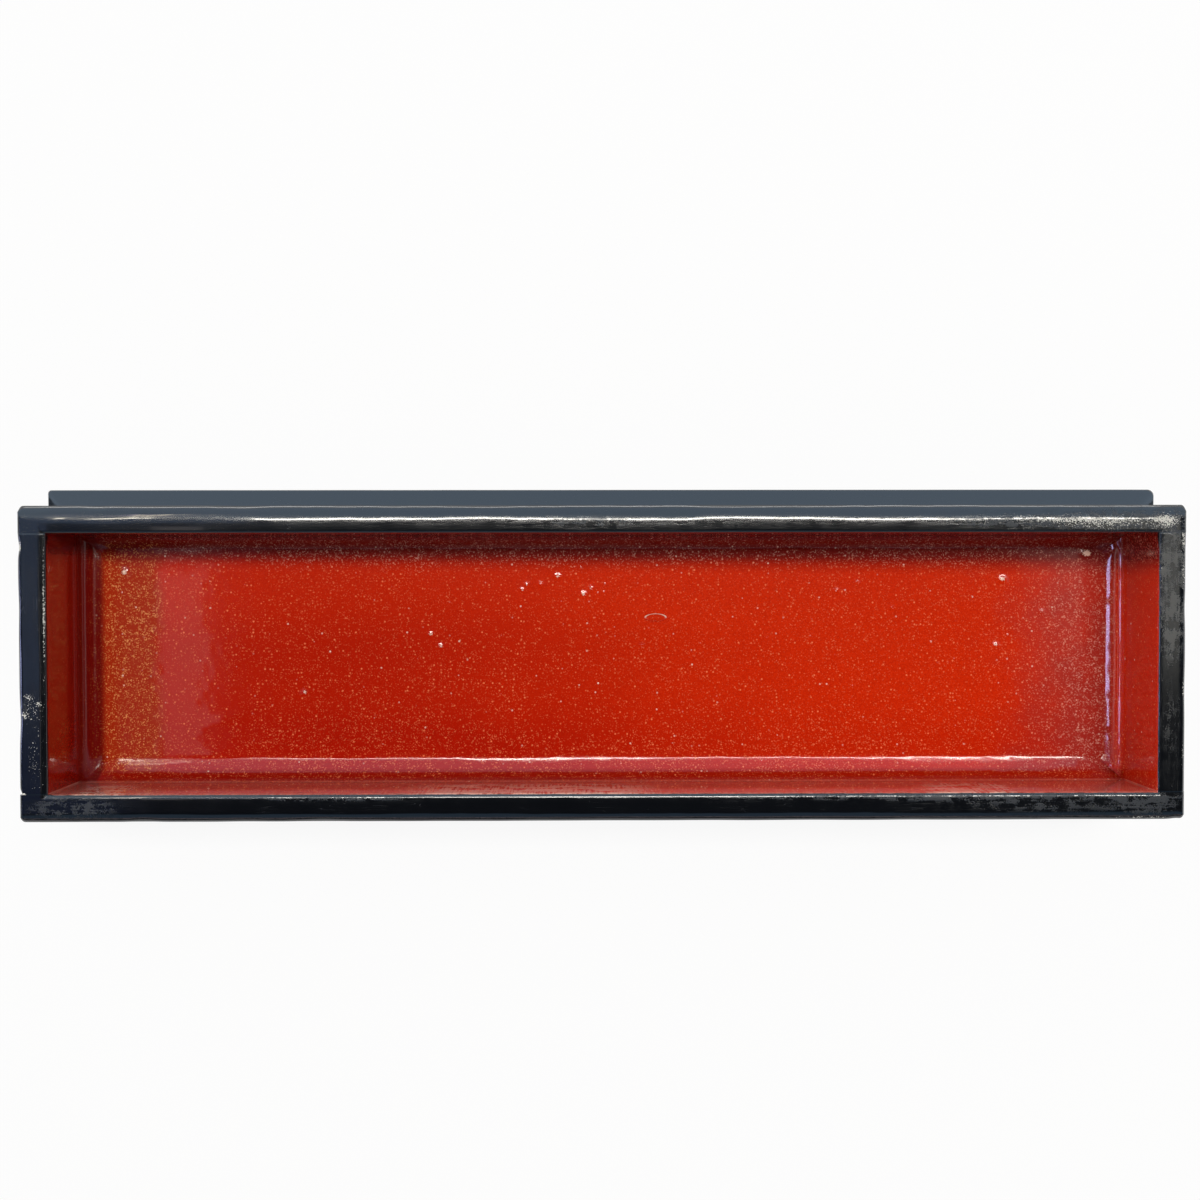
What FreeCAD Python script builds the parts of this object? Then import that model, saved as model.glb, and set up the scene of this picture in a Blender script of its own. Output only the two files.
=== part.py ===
import FreeCAD, Part
import math
import os

import Sketcher

# A slim lacquered ink box in two halves. The lower half is the deep lid, which stands on its rim with its
# bevelled top upwards. The upper half is the open tray, which rests on the lid's top. Turned over, the lid
# slips over the tray and closes the box.
#
# Each half is joined the way a box maker joins one. The two long walls run the whole length, and the two end
# walls fit between them. Bamboo pegs go through the long walls into the end grain of the end walls. The
# tray's floor board lies in a rebate cut round the foot of its walls and is pegged from below. The lid's top
# board is dowelled to the upper edges of its walls. A putty cove softens the corner between the tray's floor
# and each wall. Every peg is set a little below the surface, where filler and lacquer cover it.
#
# The frame: X runs along the box, Y across it towards the back, and Z up. The origin is on the table, under
# the middle of the box. A wall's own frame has X along the wall, Y from its outer face inwards, and Z from
# the edge at the floor board or top board to the free edge.

# The driving sizes, in millimetres apart from the counts: name, value, what it is.
DRIVING_SIZES = (
    ("tray_length", 253.2, "outside length of the tray"),
    ("tray_width", 68.7, "outside width of the tray"),
    ("tray_depth", 20.0, "depth inside the tray, from rim to floor"),
    ("tray_wall", 6.1, "thickness of the tray's walls"),
    ("tray_board", 4.0, "thickness of the tray's floor board"),
    ("tray_edge_round", 1.0, "rounding of the tray's upright corners and foot"),
    ("rim_outer_width", 2.3, "how far the rounding of the rim's outer edge reaches over the wall"),
    ("rim_outer_drop", 1.0, "how far that rounding drops"),
    ("rim_inner_width", 0.5, "how far the rounding of the rim's inner edge reaches over the wall"),
    ("rim_inner_drop", 0.4, "how far that rounding drops"),
    ("rebate_width", 3.2, "how far the floor board reaches into the walls"),
    ("board_fit", 0.05, "gap between the edge of the floor board and the rebate"),
    ("cove_leg", 4.0, "how far the putty cove reaches up the wall and over the floor"),
    ("cove_centre_shift", 0.75, "how far the centre of the cove's hollow lies beyond its feet"),
    ("lid_depth", 21.5, "depth inside the lid"),
    ("lid_wall", 4.6, "thickness of the lid's walls"),
    ("lid_gap", 0.6, "gap between the lid's walls and the tray when the box is shut"),
    ("lid_board", 5.0, "thickness of the lid's top board"),
    ("lid_bevel_width", 5.0, "width of the bevel round the lid's top"),
    ("lid_bevel_drop", 2.2, "height of the bevel round the lid's top"),
    ("lid_edge_round", 0.8, "rounding of the lid's outer edges"),
    ("lid_crown_round", 0.4, "rounding of the corners of the lid's flat top"),
    ("peg_diameter", 1.6, "diameter of the bamboo pegs and dowels"),
    ("peg_fit", 0.02, "gap round a peg in its hole"),
    ("peg_set", 0.4, "how far a peg's head lies below the surface"),
    ("corner_peg_reach", 11.0, "how far a corner peg enters the end wall"),
    ("corner_peg_inset", 5.0, "from a corner peg to the rim, and from the other one to the board"),
    ("end_peg_gap", 3.0, "along an end wall, from a corner peg's tip to the nearest upright peg"),
    ("floor_peg_reach", 6.0, "how far a floor peg enters a wall of the tray"),
    ("floor_peg_count", 5, "floor pegs along each long side"),
    ("floor_peg_margin", 20.0, "from the inner corner to the first floor peg of a long side"),
    ("dowel_reach", 8.0, "how far a dowel enters a wall of the lid"),
    ("dowel_sink", 2.0, "how far a dowel enters the lid's top board"),
    ("dowel_count", 5, "dowels along each long side of the lid"),
    ("dowel_margin", 22.0, "from the inner corner to the first dowel of a long side"),
)
PARTS_FOLDER = "parts"
PEGS_PER_END_WALL = 2

# The angle about Z that turns a wall, drawn as the front one, to the side that it closes.
FACING = {"front": 0, "right": 90, "back": 180, "left": -90}
ALONG_Y = FreeCAD.Rotation(FreeCAD.Vector(1, 0, 0), -90)
ON_ITS_RIM = FreeCAD.Rotation(FreeCAD.Vector(0, 1, 0), 180)
UP = FreeCAD.Vector(0, 0, 1)
EDGE_TOLERANCE = 0.001
# How far a cutting shape runs past the wood that it cuts.
OVERRUN = 1.0

doc = FreeCAD.newDocument("ink_box")
sheet = doc.addObject("Spreadsheet::Sheet", "Sizes")


class Size:
    """A size of the spreadsheet, or a sum or product of such sizes: its expression and its value."""

    def __init__(self, expression, value):
        self.expression = expression
        self.value = value

    @staticmethod
    def of(other):
        return other if isinstance(other, Size) else Size(repr(other), other)

    def __add__(self, other):
        other = Size.of(other)
        return Size(f"({self.expression} + {other.expression})", self.value + other.value)

    def __sub__(self, other):
        other = Size.of(other)
        return Size(f"({self.expression} - {other.expression})", self.value - other.value)

    def __mul__(self, other):
        other = Size.of(other)
        return Size(f"({self.expression} * {other.expression})", self.value * other.value)

    def __truediv__(self, other):
        other = Size.of(other)
        return Size(f"({self.expression} / {other.expression})", self.value / other.value)

    def __neg__(self):
        return Size(f"(-1 * {self.expression})", -self.value)

    __rmul__ = __mul__


class Half:
    """The sizes of one half of the box that its walls, its board and its pegs share."""

    def __init__(self, name, length, width, wall, height, edge_round):
        self.name = name
        self.length = length
        self.width = width
        self.wall = wall
        self.height = height
        self.edge_round = edge_round
        self.inner_length = length - 2 * wall
        self.inner_width = width - 2 * wall
        # Where the outer face of each wall lies.
        self.faces = {
            "front": (0, -(width / 2)),
            "right": (length / 2, 0),
            "back": (0, width / 2),
            "left": (-(length / 2), 0),
        }

    def set_corner_pegs(self, board_inside, walls_board_edge, stands_on_rim):
        """Sets the corner pegs' heights, in a wall's own frame, and where the walls stand."""
        self.peg_heights = (board_inside + s["corner_peg_inset"], self.height - s["corner_peg_inset"])
        self.walls_board_edge = walls_board_edge
        self.stands_on_rim = stands_on_rim

    def set_upright_pegs(self, from_face, depth, count, margin):
        """Sets the pegs or dowels between the walls and the board, which stand from_face inside a wall."""
        self.upright_from_face = from_face
        self.upright_depth = depth
        self.upright_count = count
        self.long_start = self.inner_length / 2 - margin
        self.end_start = self.inner_width / 2 - s["corner_peg_reach"] - s["end_peg_gap"]
        self.long_line = self.width / 2 - from_face
        self.end_line = self.length / 2 - from_face


def fill_sheet():
    """Writes the driving sizes into the spreadsheet and returns them by name."""
    sizes = {}
    for row, (name, value, meaning) in enumerate(DRIVING_SIZES, start=1):
        sheet.set(f"A{row}", meaning)
        sheet.set(f"B{row}", str(value))
        sheet.setAlias(f"B{row}", name)
        sizes[name] = Size(f"Sizes.{name}", value)
    doc.recompute()
    return sizes


def bind(thing, prop, size):
    """Ties a property to the spreadsheet."""
    thing.setExpression(prop, Size.of(size).expression)


def place(thing, x, y, z, rotation=FreeCAD.Rotation()):
    """Turns a thing and ties its place to the spreadsheet."""
    thing.Placement = FreeCAD.Placement(FreeCAD.Vector(), rotation)
    for axis, size in (("x", x), ("y", y), ("z", z)):
        bind(thing, f"Placement.Base.{axis}", size)


def new_body(name):
    body = doc.addObject("PartDesign::Body", name)
    body.Label = name
    return body


def origin_feature(body, role):
    return next(feature for feature in body.Origin.OriginFeatures if feature.Role == role)


def new_sketch(body, name, plane, lift=0):
    """A sketch on one of the body's own origin planes, moved along that plane's normal by lift."""
    sketch = body.newObject("Sketcher::SketchObject", f"{body.Name}_{name}")
    sketch.AttachmentSupport = [(origin_feature(body, plane), "")]
    sketch.MapMode = "FlatFace"
    bind(sketch, "AttachmentOffset.Base.z", lift)
    return sketch


def dimension(sketch, kind, *places, size):
    """Adds a dimension to a sketch and ties it to the spreadsheet."""
    index = sketch.addConstraint(Sketcher.Constraint(kind, *places, Size.of(size).value))
    bind(sketch, f"Constraints[{index}]", size)


def locate(sketch, element, point, x, y):
    """Dimensions a point of an element from the sketch's origin."""
    dimension(sketch, "DistanceX", -1, 1, element, point, size=x)
    dimension(sketch, "DistanceY", -1, 1, element, point, size=y)


def flat_point(x, y):
    return FreeCAD.Vector(Size.of(x).value, Size.of(y).value, 0)


def polygon(sketch, corners):
    """A closed outline through corners, each a pair of sizes from the sketch's origin."""
    points = [flat_point(*corner) for corner in corners]
    for start, end in zip(points, points[1:] + points[:1]):
        sketch.addGeometry(Part.LineSegment(start, end))
    for i, corner in enumerate(corners):
        sketch.addConstraint(Sketcher.Constraint("Coincident", i, 2, (i + 1) % len(corners), 1))
        locate(sketch, i, 1, *corner)


def circles(sketch, centres, diameter):
    """Round holes at centres, each a pair of sizes from the sketch's origin."""
    for i, centre in enumerate(centres):
        sketch.addGeometry(Part.Circle(flat_point(*centre), UP, diameter.value / 2))
        dimension(sketch, "Diameter", i, size=diameter)
        locate(sketch, i, 3, *centre)


def rounded_rectangle(sketch, length, width, radius):
    """A rectangle about the sketch's origin with rounded corners: four arcs, then the lines between them."""
    across, up = length / 2 - radius, width / 2 - radius
    centres = ((across, up), (-across, up), (-across, -up), (across, -up))
    for i, centre in enumerate(centres):
        circle = Part.Circle(flat_point(*centre), UP, radius.value)
        sketch.addGeometry(Part.ArcOfCircle(circle, math.radians(90 * i), math.radians(90 * (i + 1))))
    for i in range(4):
        following = (i + 1) % 4
        sketch.addGeometry(Part.LineSegment(sketch.getPoint(i, 2), sketch.getPoint(following, 1)))
        sketch.addConstraint(Sketcher.Constraint("Tangent", i, 2, 4 + i, 1))
        sketch.addConstraint(Sketcher.Constraint("Tangent", 4 + i, 2, following, 1))
        sketch.addConstraint(Sketcher.Constraint("Horizontal" if i % 2 == 0 else "Vertical", 4 + i))
        dimension(sketch, "Radius", i, size=radius)
    for corner in (0, 2):
        locate(sketch, corner, 3, *centres[corner])


def pad(sketch, length, both_ways=False):
    """Grows a sketch into its body, along the sketch's normal or half each way."""
    feature = sketch.getParentGeoFeatureGroup().newObject("PartDesign::Pad", f"{sketch.Name}_pad")
    feature.Profile = sketch
    feature.SideType = "Symmetric" if both_ways else "One side"
    bind(feature, "Length", length)
    doc.recompute()


def pocket(sketch, depth=None, along_normal=True):
    """Cuts a sketch into its body, right through if no depth is given, and checks that it cut something."""
    body = sketch.getParentGeoFeatureGroup()
    before = body.Shape.Volume
    feature = body.newObject("PartDesign::Pocket", f"{sketch.Name}_pocket")
    feature.Profile = sketch
    feature.Reversed = along_normal
    if depth is None:
        feature.Type = "ThroughAll"
    else:
        bind(feature, "Length", depth)
    doc.recompute()
    if body.Shape.Volume >= before:
        raise RuntimeError(f"{feature.Name} cut nothing")
    return feature


def repeat_along_x(body, feature, length, count):
    """Repeats a feature so that the copies, the first one counted, span length."""
    row = body.newObject("PartDesign::LinearPattern", f"{feature.Name}_row")
    row.Originals = [feature]
    row.Direction = (origin_feature(body, "X_Axis"), [""])
    row.Mode = "Extent"
    bind(row, "Length", length)
    bind(row, "Occurrences", count)
    body.Tip = row
    doc.recompute()


def mirror_in_x(body, feature):
    """Repeats a feature at the other end of its body."""
    copy = body.newObject("PartDesign::Mirrored", f"{feature.Name}_mirrored")
    copy.Originals = [feature]
    copy.MirrorPlane = (origin_feature(body, "YZ_Plane"), [""])
    body.Tip = copy
    doc.recompute()


def lies_at(edge, **coordinates):
    """Whether the whole edge lies at these coordinates."""
    box = edge.BoundBox
    spans = {"x": (box.XMin, box.XMax), "y": (box.YMin, box.YMax), "z": (box.ZMin, box.ZMax)}
    return all(abs(end - at) < EDGE_TOLERANCE for axis, at in coordinates.items() for end in spans[axis])


def round_outer_edges(body, length, heights, radius, ends_show):
    """Rounds a wall's outer edge at each height and, where its ends show, the edges round them too."""
    half = length.value / 2

    def shows(edge):
        at_outer_face = lies_at(edge, y=0)
        at_end = lies_at(edge, x=half) or lies_at(edge, x=-half)
        at_height = any(lies_at(edge, z=height) for height in heights)
        if at_outer_face and at_end:
            return ends_show
        return at_height and (at_outer_face or (at_end and ends_show))

    edges = [f"Edge{i}" for i, edge in enumerate(body.Tip.Shape.Edges, start=1) if shows(edge)]
    rounding = body.newObject("PartDesign::Fillet", f"{body.Name}_rounding")
    rounding.Base = (body.getObject(f"{body.Name}_section_pad"), edges)
    bind(rounding, "Radius", radius)
    doc.recompute()


def ease_rim(body, half, edge, along, across):
    """Rounds the outer or inner edge of a wall's rim, mitred where the walls meet.

    The section runs round all four walls. along and across are the half's outside lengths in the wall's own X
    and Y. The arc leaves the rim's level top at its width from the face and meets the face lower by its drop.
    """
    width, drop, top = s[f"rim_{edge}_width"], s[f"rim_{edge}_drop"], half.height
    face, level, beyond = Size.of(0), width, Size.of(-OVERRUN)
    if edge == "inner":
        face, level, beyond = half.wall, half.wall - width, half.wall + OVERRUN
    low, above = top - drop, top + OVERRUN
    radius = (width * width + drop * drop) / (2 * drop)
    centre = top - radius
    at_face = math.atan2((low - centre).value, (face - level).value)

    # The section is the space over the rounding: the arc, then straight lines round the outside of it.
    space = new_sketch(body, f"rim_{edge}_section", "YZ_Plane")
    circle = Part.Circle(flat_point(level, centre), UP, radius.value)
    space.addGeometry(Part.ArcOfCircle(circle, *sorted((at_face, math.pi / 2))))
    corners = [(face, low), (beyond, low), (beyond, above), (level, above), (level, top)]
    if edge == "inner":
        corners.reverse()
    for start, end in zip(corners, corners[1:]):
        line = space.addGeometry(Part.LineSegment(flat_point(*start), flat_point(*end)))
        space.addConstraint(Sketcher.Constraint("Coincident", line - 1, 2, line, 1))
        locate(space, line, 1, *start)
    space.addConstraint(Sketcher.Constraint("Coincident", line, 2, 0, 1))
    locate(space, line, 2, *corners[-1])
    dimension(space, "Radius", 0, size=radius)

    path = new_sketch(body, f"rim_{edge}_path", "XY_Plane", lift=top)
    half_along = along / 2
    polygon(path, ((0, 0), (half_along, 0), (half_along, across), (-half_along, across), (-half_along, 0)))
    before = body.Shape.Volume
    rounding = body.newObject("PartDesign::SubtractivePipe", f"{body.Name}_rim_{edge}")
    rounding.Profile = space
    rounding.Spine = path
    rounding.Transition = "Right corner"
    doc.recompute()
    if body.Shape.Volume >= before:
        raise RuntimeError(f"{rounding.Name} cut nothing")


def place_on_side(body, half, side):
    """Turns a wall to its side of the half and sets it on that side's outer face."""
    turn = FreeCAD.Rotation(UP, FACING[side])
    if half.stands_on_rim:
        turn = turn.multiply(ON_ITS_RIM)
    place(body, *half.faces[side], half.walls_board_edge, turn)


def wall(half, side, rounded_heights, rebate_depth=None, eased=False):
    """One wall of a half, with its peg holes and any rebate and eased rim. Returns its body."""
    is_long = side in ("front", "back")
    length = half.length if is_long else half.inner_width
    body = new_body(f"{half.name}_{side}_wall")
    section = new_sketch(body, "section", "YZ_Plane")
    polygon(section, ((0, 0), (half.wall, 0), (half.wall, half.height), (0, half.height)))
    pad(section, length, both_ways=True)
    round_outer_edges(body, length, rounded_heights, half.edge_round, is_long)
    if eased:
        outside = (half.length, half.width) if is_long else (half.width, half.length)
        for edge in ("outer", "inner"):
            ease_rim(body, half, edge, *outside)

    if rebate_depth is not None:
        # On a long wall the rebate stops where the floor board ends, so that it doesn't show at the corners.
        reach = half.inner_length / 2 + s["rebate_width"] if is_long else length / 2
        edge = half.wall - s["rebate_width"]
        rebate = new_sketch(body, "rebate", "XY_Plane")
        polygon(rebate, ((-reach, edge), (reach, edge), (reach, half.wall), (-reach, half.wall)))
        pocket(rebate, rebate_depth)

    if is_long:
        over_end_wall = half.length / 2 - half.wall / 2
        through = new_sketch(body, "corner_holes", "XZ_Plane")
        circles(through, [(x, z) for x in (over_end_wall, -over_end_wall) for z in half.peg_heights], hole)
        pocket(through, along_normal=False)
    else:
        end_grain = new_sketch(body, "corner_holes", "YZ_Plane", lift=-(length / 2))
        circles(end_grain, [(half.wall / 2, z) for z in half.peg_heights], hole)
        mirror_in_x(body, pocket(end_grain, s["corner_peg_reach"]))

    start = half.long_start if is_long else half.end_start
    count = half.upright_count if is_long else PEGS_PER_END_WALL
    upright = new_sketch(body, "upright_holes", "XY_Plane")
    circles(upright, [(-start, half.upright_from_face)], hole)
    repeat_along_x(body, pocket(upright, half.upright_depth), 2 * start, count)
    place_on_side(body, half, side)
    return body


def upright_holes(body, half, depth):
    """The holes of the upright pegs in a half's board: a row along each long side and a pair at each end."""
    along = new_sketch(body, "long_holes", "XY_Plane")
    circles(along, [(-half.long_start, line) for line in (half.long_line, -half.long_line)], hole)
    repeat_along_x(body, pocket(along, depth), 2 * half.long_start, half.upright_count)
    ends = new_sketch(body, "end_holes", "XY_Plane")
    lines, starts = (half.end_line, -half.end_line), (half.end_start, -half.end_start)
    circles(ends, [(x, y) for x in lines for y in starts], hole)
    pocket(ends, depth)


def tray_floor_board():
    """The tray's floor board, which lies in the rebate of the walls. Returns its body."""
    body = new_body("tray_floor_board")
    into_walls = s["rebate_width"] - s["board_fit"]
    x, y = tray.inner_length / 2 + into_walls, tray.inner_width / 2 + into_walls
    outline = new_sketch(body, "outline", "XY_Plane")
    polygon(outline, ((-x, -y), (x, -y), (x, y), (-x, y)))
    pad(outline, s["tray_board"])
    upright_holes(body, tray, s["tray_board"])
    place(body, 0, 0, tray_foot)
    return body


def lid_top_board():
    """The lid's top board, bevelled all round, with the blind holes of its dowels. Returns its body."""
    body = new_body("lid_top_board")
    slab_height = s["lid_board"] - s["lid_bevel_drop"]
    slab = new_sketch(body, "slab", "XY_Plane")
    rounded_rectangle(slab, lid.length, lid.width, s["lid_edge_round"])
    pad(slab, slab_height)
    eaves = new_sketch(body, "eaves", "XY_Plane", lift=slab_height)
    rounded_rectangle(eaves, lid.length, lid.width, s["lid_edge_round"])
    crown = new_sketch(body, "crown", "XY_Plane", lift=s["lid_board"])
    both_bevels = 2 * s["lid_bevel_width"]
    rounded_rectangle(crown, lid.length - both_bevels, lid.width - both_bevels, s["lid_crown_round"])
    bevel = body.newObject("PartDesign::AdditiveLoft", "lid_top_board_bevel")
    bevel.Profile = eaves
    bevel.Sections = [crown]
    bevel.Ruled = True
    doc.recompute()
    upright_holes(body, lid, s["dowel_sink"])
    place(body, 0, 0, s["lid_depth"])
    return body


def cove(side):
    """The putty cove along one side of the tray's floor, mitred at both ends. Returns its body."""
    length = tray.inner_length if side in ("front", "back") else tray.inner_width
    leg = s["cove_leg"]
    centre = leg + s["cove_centre_shift"]
    body = new_body(f"tray_{side}_cove")

    # The section is two legs from the corner, on the floor and up the wall, and a hollow arc between them.
    section = new_sketch(body, "section", "YZ_Plane")
    to_wall_foot = math.atan2(leg.value - centre.value, -centre.value) + 2 * math.pi
    to_floor_foot = math.atan2(-centre.value, leg.value - centre.value) + 2 * math.pi
    radius = math.hypot(centre.value, centre.value - leg.value)
    circle = Part.Circle(flat_point(centre, centre), UP, radius)
    section.addGeometry(Part.LineSegment(flat_point(0, 0), flat_point(leg, 0)))
    section.addGeometry(Part.LineSegment(flat_point(0, leg), flat_point(0, 0)))
    section.addGeometry(Part.ArcOfCircle(circle, to_wall_foot, to_floor_foot))
    for joined in ((0, 1, 1, 2), (0, 2, 2, 2), (1, 1, 2, 1)):
        section.addConstraint(Sketcher.Constraint("Coincident", *joined))
    locate(section, 0, 1, 0, 0)
    locate(section, 0, 2, leg, 0)
    locate(section, 1, 1, 0, leg)
    dimension(section, "DistanceX", -1, 1, 2, 3, size=centre)
    pad(section, length, both_ways=True)

    corner = length / 2
    mitre = new_sketch(body, "mitre", "XY_Plane")
    polygon(mitre, ((corner, 0), (corner + leg, 0), (corner + leg, 2 * leg), (corner - 2 * leg, 2 * leg)))
    mirror_in_x(body, pocket(mitre))
    inner_faces = {
        "front": (0, -(tray.inner_width / 2)),
        "right": (tray.inner_length / 2, 0),
        "back": (0, tray.inner_width / 2),
        "left": (-(tray.inner_length / 2), 0),
    }
    place(body, *inner_faces[side], tray_foot + s["tray_board"], FreeCAD.Rotation(UP, FACING[side]))
    return body


def peg(x, y, z, length, rotation=FreeCAD.Rotation()):
    """One peg, which grows from the middle of its lower or front end at x, y, z."""
    cylinder = doc.addObject("Part::Cylinder", "peg")
    bind(cylinder, "Radius", s["peg_diameter"] / 2)
    bind(cylinder, "Height", length)
    place(cylinder, x, y, z, rotation)
    return cylinder


def peg_group(name, pegs):
    """Pegs that are all alike, as one node of separate solids."""
    group = doc.addObject("Part::Compound", name)
    group.Label = name
    group.Links = pegs
    return group


def corner_pegs(half):
    """The pegs through a half's long walls into its end walls, two at each corner. Returns their group."""
    driven = half.wall - s["peg_set"] + s["corner_peg_reach"]
    head = half.width / 2 - s["peg_set"]
    over_end_wall = half.length / 2 - half.wall / 2
    upwards = -1 if half.stands_on_rim else 1
    heights = [half.walls_board_edge + upwards * height for height in half.peg_heights]
    ends, long_walls = (over_end_wall, -over_end_wall), (-head, head - driven)
    places = [(x, y, z) for x in ends for y in long_walls for z in heights]
    return peg_group(f"{half.name}_corner_pegs", [peg(*at, driven, ALONG_Y) for at in places])


def upright_pegs(name, half, foot, length):
    """The pegs between a half's walls and its board, whose lower ends are at foot. Returns their group."""
    count = half.upright_count.value
    pitch = 2 * half.long_start / (half.upright_count - 1)
    along = [pitch * i - half.long_start for i in range(count)]
    places = [(x, y) for x in along for y in (half.long_line, -half.long_line)]
    places += [(x, y) for x in (half.end_line, -half.end_line) for y in (half.end_start, -half.end_start)]
    return peg_group(name, [peg(x, y, foot, length) for x, y in places])


def check_and_export(nodes):
    """Stops if any object failed, then writes each node to its own STEP file."""
    doc.recompute()
    failed = [thing.Name for thing in doc.Objects if {"Invalid", "Error"} & set(thing.State)]
    if failed:
        raise RuntimeError(f"these objects failed: {failed}")
    os.makedirs(PARTS_FOLDER, exist_ok=True)
    for node in nodes:
        shape = node.Shape
        if shape.isNull() or not shape.isValid() or not shape.Solids:
            raise RuntimeError(f"{node.Label} has no valid solid")
        shape.exportStep(os.path.join(PARTS_FOLDER, f"{node.Label}.step"))
        print(f"{node.Label}: {len(shape.Solids)} solids, {shape.Volume:.1f} mm3")


s = fill_sheet()
hole = s["peg_diameter"] + 2 * s["peg_fit"]
tray_foot = s["lid_depth"] + s["lid_board"]

tray = Half(
    "tray",
    s["tray_length"],
    s["tray_width"],
    s["tray_wall"],
    s["tray_depth"] + s["tray_board"],
    s["tray_edge_round"],
)
tray.set_corner_pegs(board_inside=s["tray_board"], walls_board_edge=tray_foot, stands_on_rim=False)
tray.set_upright_pegs(
    from_face=s["tray_wall"] - s["rebate_width"] / 2,
    depth=s["tray_board"] + s["floor_peg_reach"],
    count=s["floor_peg_count"],
    margin=s["floor_peg_margin"],
)

# The lid clears the tray's outside by the gap all round.
clear_of_tray = 2 * (s["lid_wall"] + s["lid_gap"])
lid = Half(
    "lid",
    s["tray_length"] + clear_of_tray,
    s["tray_width"] + clear_of_tray,
    s["lid_wall"],
    s["lid_depth"],
    s["lid_edge_round"],
)
lid.set_corner_pegs(board_inside=Size.of(0), walls_board_edge=s["lid_depth"], stands_on_rim=True)
lid.set_upright_pegs(
    from_face=s["lid_wall"] / 2, depth=s["dowel_reach"], count=s["dowel_count"], margin=s["dowel_margin"]
)

nodes = []
for side in FACING:
    nodes.append(wall(lid, side, rounded_heights=(lid.height.value,)))
    nodes.append(wall(tray, side, rounded_heights=(0,), rebate_depth=s["tray_board"], eased=True))
    nodes.append(cove(side))
nodes.append(lid_top_board())
nodes.append(tray_floor_board())
nodes.append(corner_pegs(lid))
nodes.append(corner_pegs(tray))
nodes.append(
    upright_pegs("lid_dowels", lid, s["lid_depth"] - s["dowel_reach"], s["dowel_reach"] + s["dowel_sink"])
)
nodes.append(
    upright_pegs(
        "tray_floor_pegs",
        tray,
        tray_foot + s["peg_set"],
        s["tray_board"] - s["peg_set"] + s["floor_peg_reach"],
    )
)
check_and_export(nodes)
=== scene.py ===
"""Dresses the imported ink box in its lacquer: skins for the boards, putty coves, and a small pale studio.

Every skin is a surface worked out with numpy in metres, in the row frame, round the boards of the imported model.
A wall's own frame has u along the wall, v from its outer face inwards and z upwards.
"""

import logging
import math
from collections.abc import Callable
from dataclasses import dataclass, field
from enum import Enum
from functools import reduce

import bpy
import numpy as np
from mathutils import Matrix, Vector


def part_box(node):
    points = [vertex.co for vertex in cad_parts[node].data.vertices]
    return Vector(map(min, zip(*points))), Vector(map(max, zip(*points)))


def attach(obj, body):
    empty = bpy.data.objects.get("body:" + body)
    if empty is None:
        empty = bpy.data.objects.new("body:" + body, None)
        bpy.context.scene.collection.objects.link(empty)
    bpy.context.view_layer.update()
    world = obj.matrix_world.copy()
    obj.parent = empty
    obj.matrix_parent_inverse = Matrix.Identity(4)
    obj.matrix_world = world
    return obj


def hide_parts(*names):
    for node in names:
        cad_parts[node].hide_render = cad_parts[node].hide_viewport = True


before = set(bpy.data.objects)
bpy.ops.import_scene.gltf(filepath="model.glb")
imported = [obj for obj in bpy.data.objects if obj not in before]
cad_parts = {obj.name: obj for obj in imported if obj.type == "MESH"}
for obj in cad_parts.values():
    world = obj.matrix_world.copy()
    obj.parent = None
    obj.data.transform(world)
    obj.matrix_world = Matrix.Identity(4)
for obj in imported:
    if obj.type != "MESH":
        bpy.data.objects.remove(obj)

LOG = logging.getLogger("ink_box")
MM = 0.001
TRAY = "tray"
LID = "lid"

Array = np.ndarray
Colour = tuple[float, float, float]
Pair = tuple[float, float]
Material = bpy.types.Material
Socket = bpy.types.NodeSocket


class Side(Enum):
    """A side of the box, numbered by its quarter turns from the front."""

    FRONT, RIGHT, BACK, LEFT = range(4)

    @property
    def word(self) -> str:
        """The side's word in the nodes' names."""
        return self.name.lower()

    @property
    def is_long(self) -> bool:
        """Whether this is one of the two long sides."""
        return self.value % 2 == 0


# ---- Shapes ----


def ease(value: Array, low: float, high: float) -> Array:
    """A smooth step from 0 at low to 1 at high: 3t^2 - 2t^3 of the share of the way."""
    t = np.clip((value - low) / (high - low), 0.0, 1.0)
    return t * t * (3 - 2 * t)


@dataclass(frozen=True)
class Tremor:
    """The smooth unevenness of hand work: seeded random values on a square lattice, joined by cubic steps."""

    seed: int
    spacing: float  # the distance between the lattice's points, in millimetres

    def __call__(self, along: Array, across: Array | float = 0.0) -> Array:
        """The unevenness, from -1 to 1, at each point.

        Args:
            along: First coordinate of the points, in metres.
            across: Second coordinate of the points, in metres.

        Returns:
            The four lattice values round each point, weighted by 3t^2 - 2t^3 of its place between them.
        """
        rows, columns = 97, 89
        lattice = np.random.default_rng(self.seed).uniform(-1.0, 1.0, (rows, columns))
        a, b = np.broadcast_arrays(*(np.asarray(place) / (self.spacing * MM) for place in (along, across)))
        i, j = np.floor(a).astype(int), np.floor(b).astype(int)
        s, t = ease(a - i, 0, 1), ease(b - j, 0, 1)
        near, far = i % rows, (i + 1) % rows
        low, high = (lattice[near, k % columns] * (1 - s) + lattice[far, k % columns] * s for k in (j, j + 1))
        return low * (1 - t) + high * t

    def raised(self, along: Array, across: Array | float = 0.0) -> Array:
        """The unevenness from 0 to 1."""
        return 0.5 + 0.5 * self(along, across)


@dataclass(frozen=True)
class Spot:
    """A place on a surface, such as a chip, a nib or a rubbed patch, in millimetres of the row frame."""

    x: float
    y: float
    reach_x: float
    reach_y: float
    amount: float  # its height, depth or strength


def spots(*rows: tuple[float, ...]) -> tuple[Spot, ...]:
    """Spots from rows of their five values."""
    return tuple(Spot(*row) for row in rows)


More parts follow.
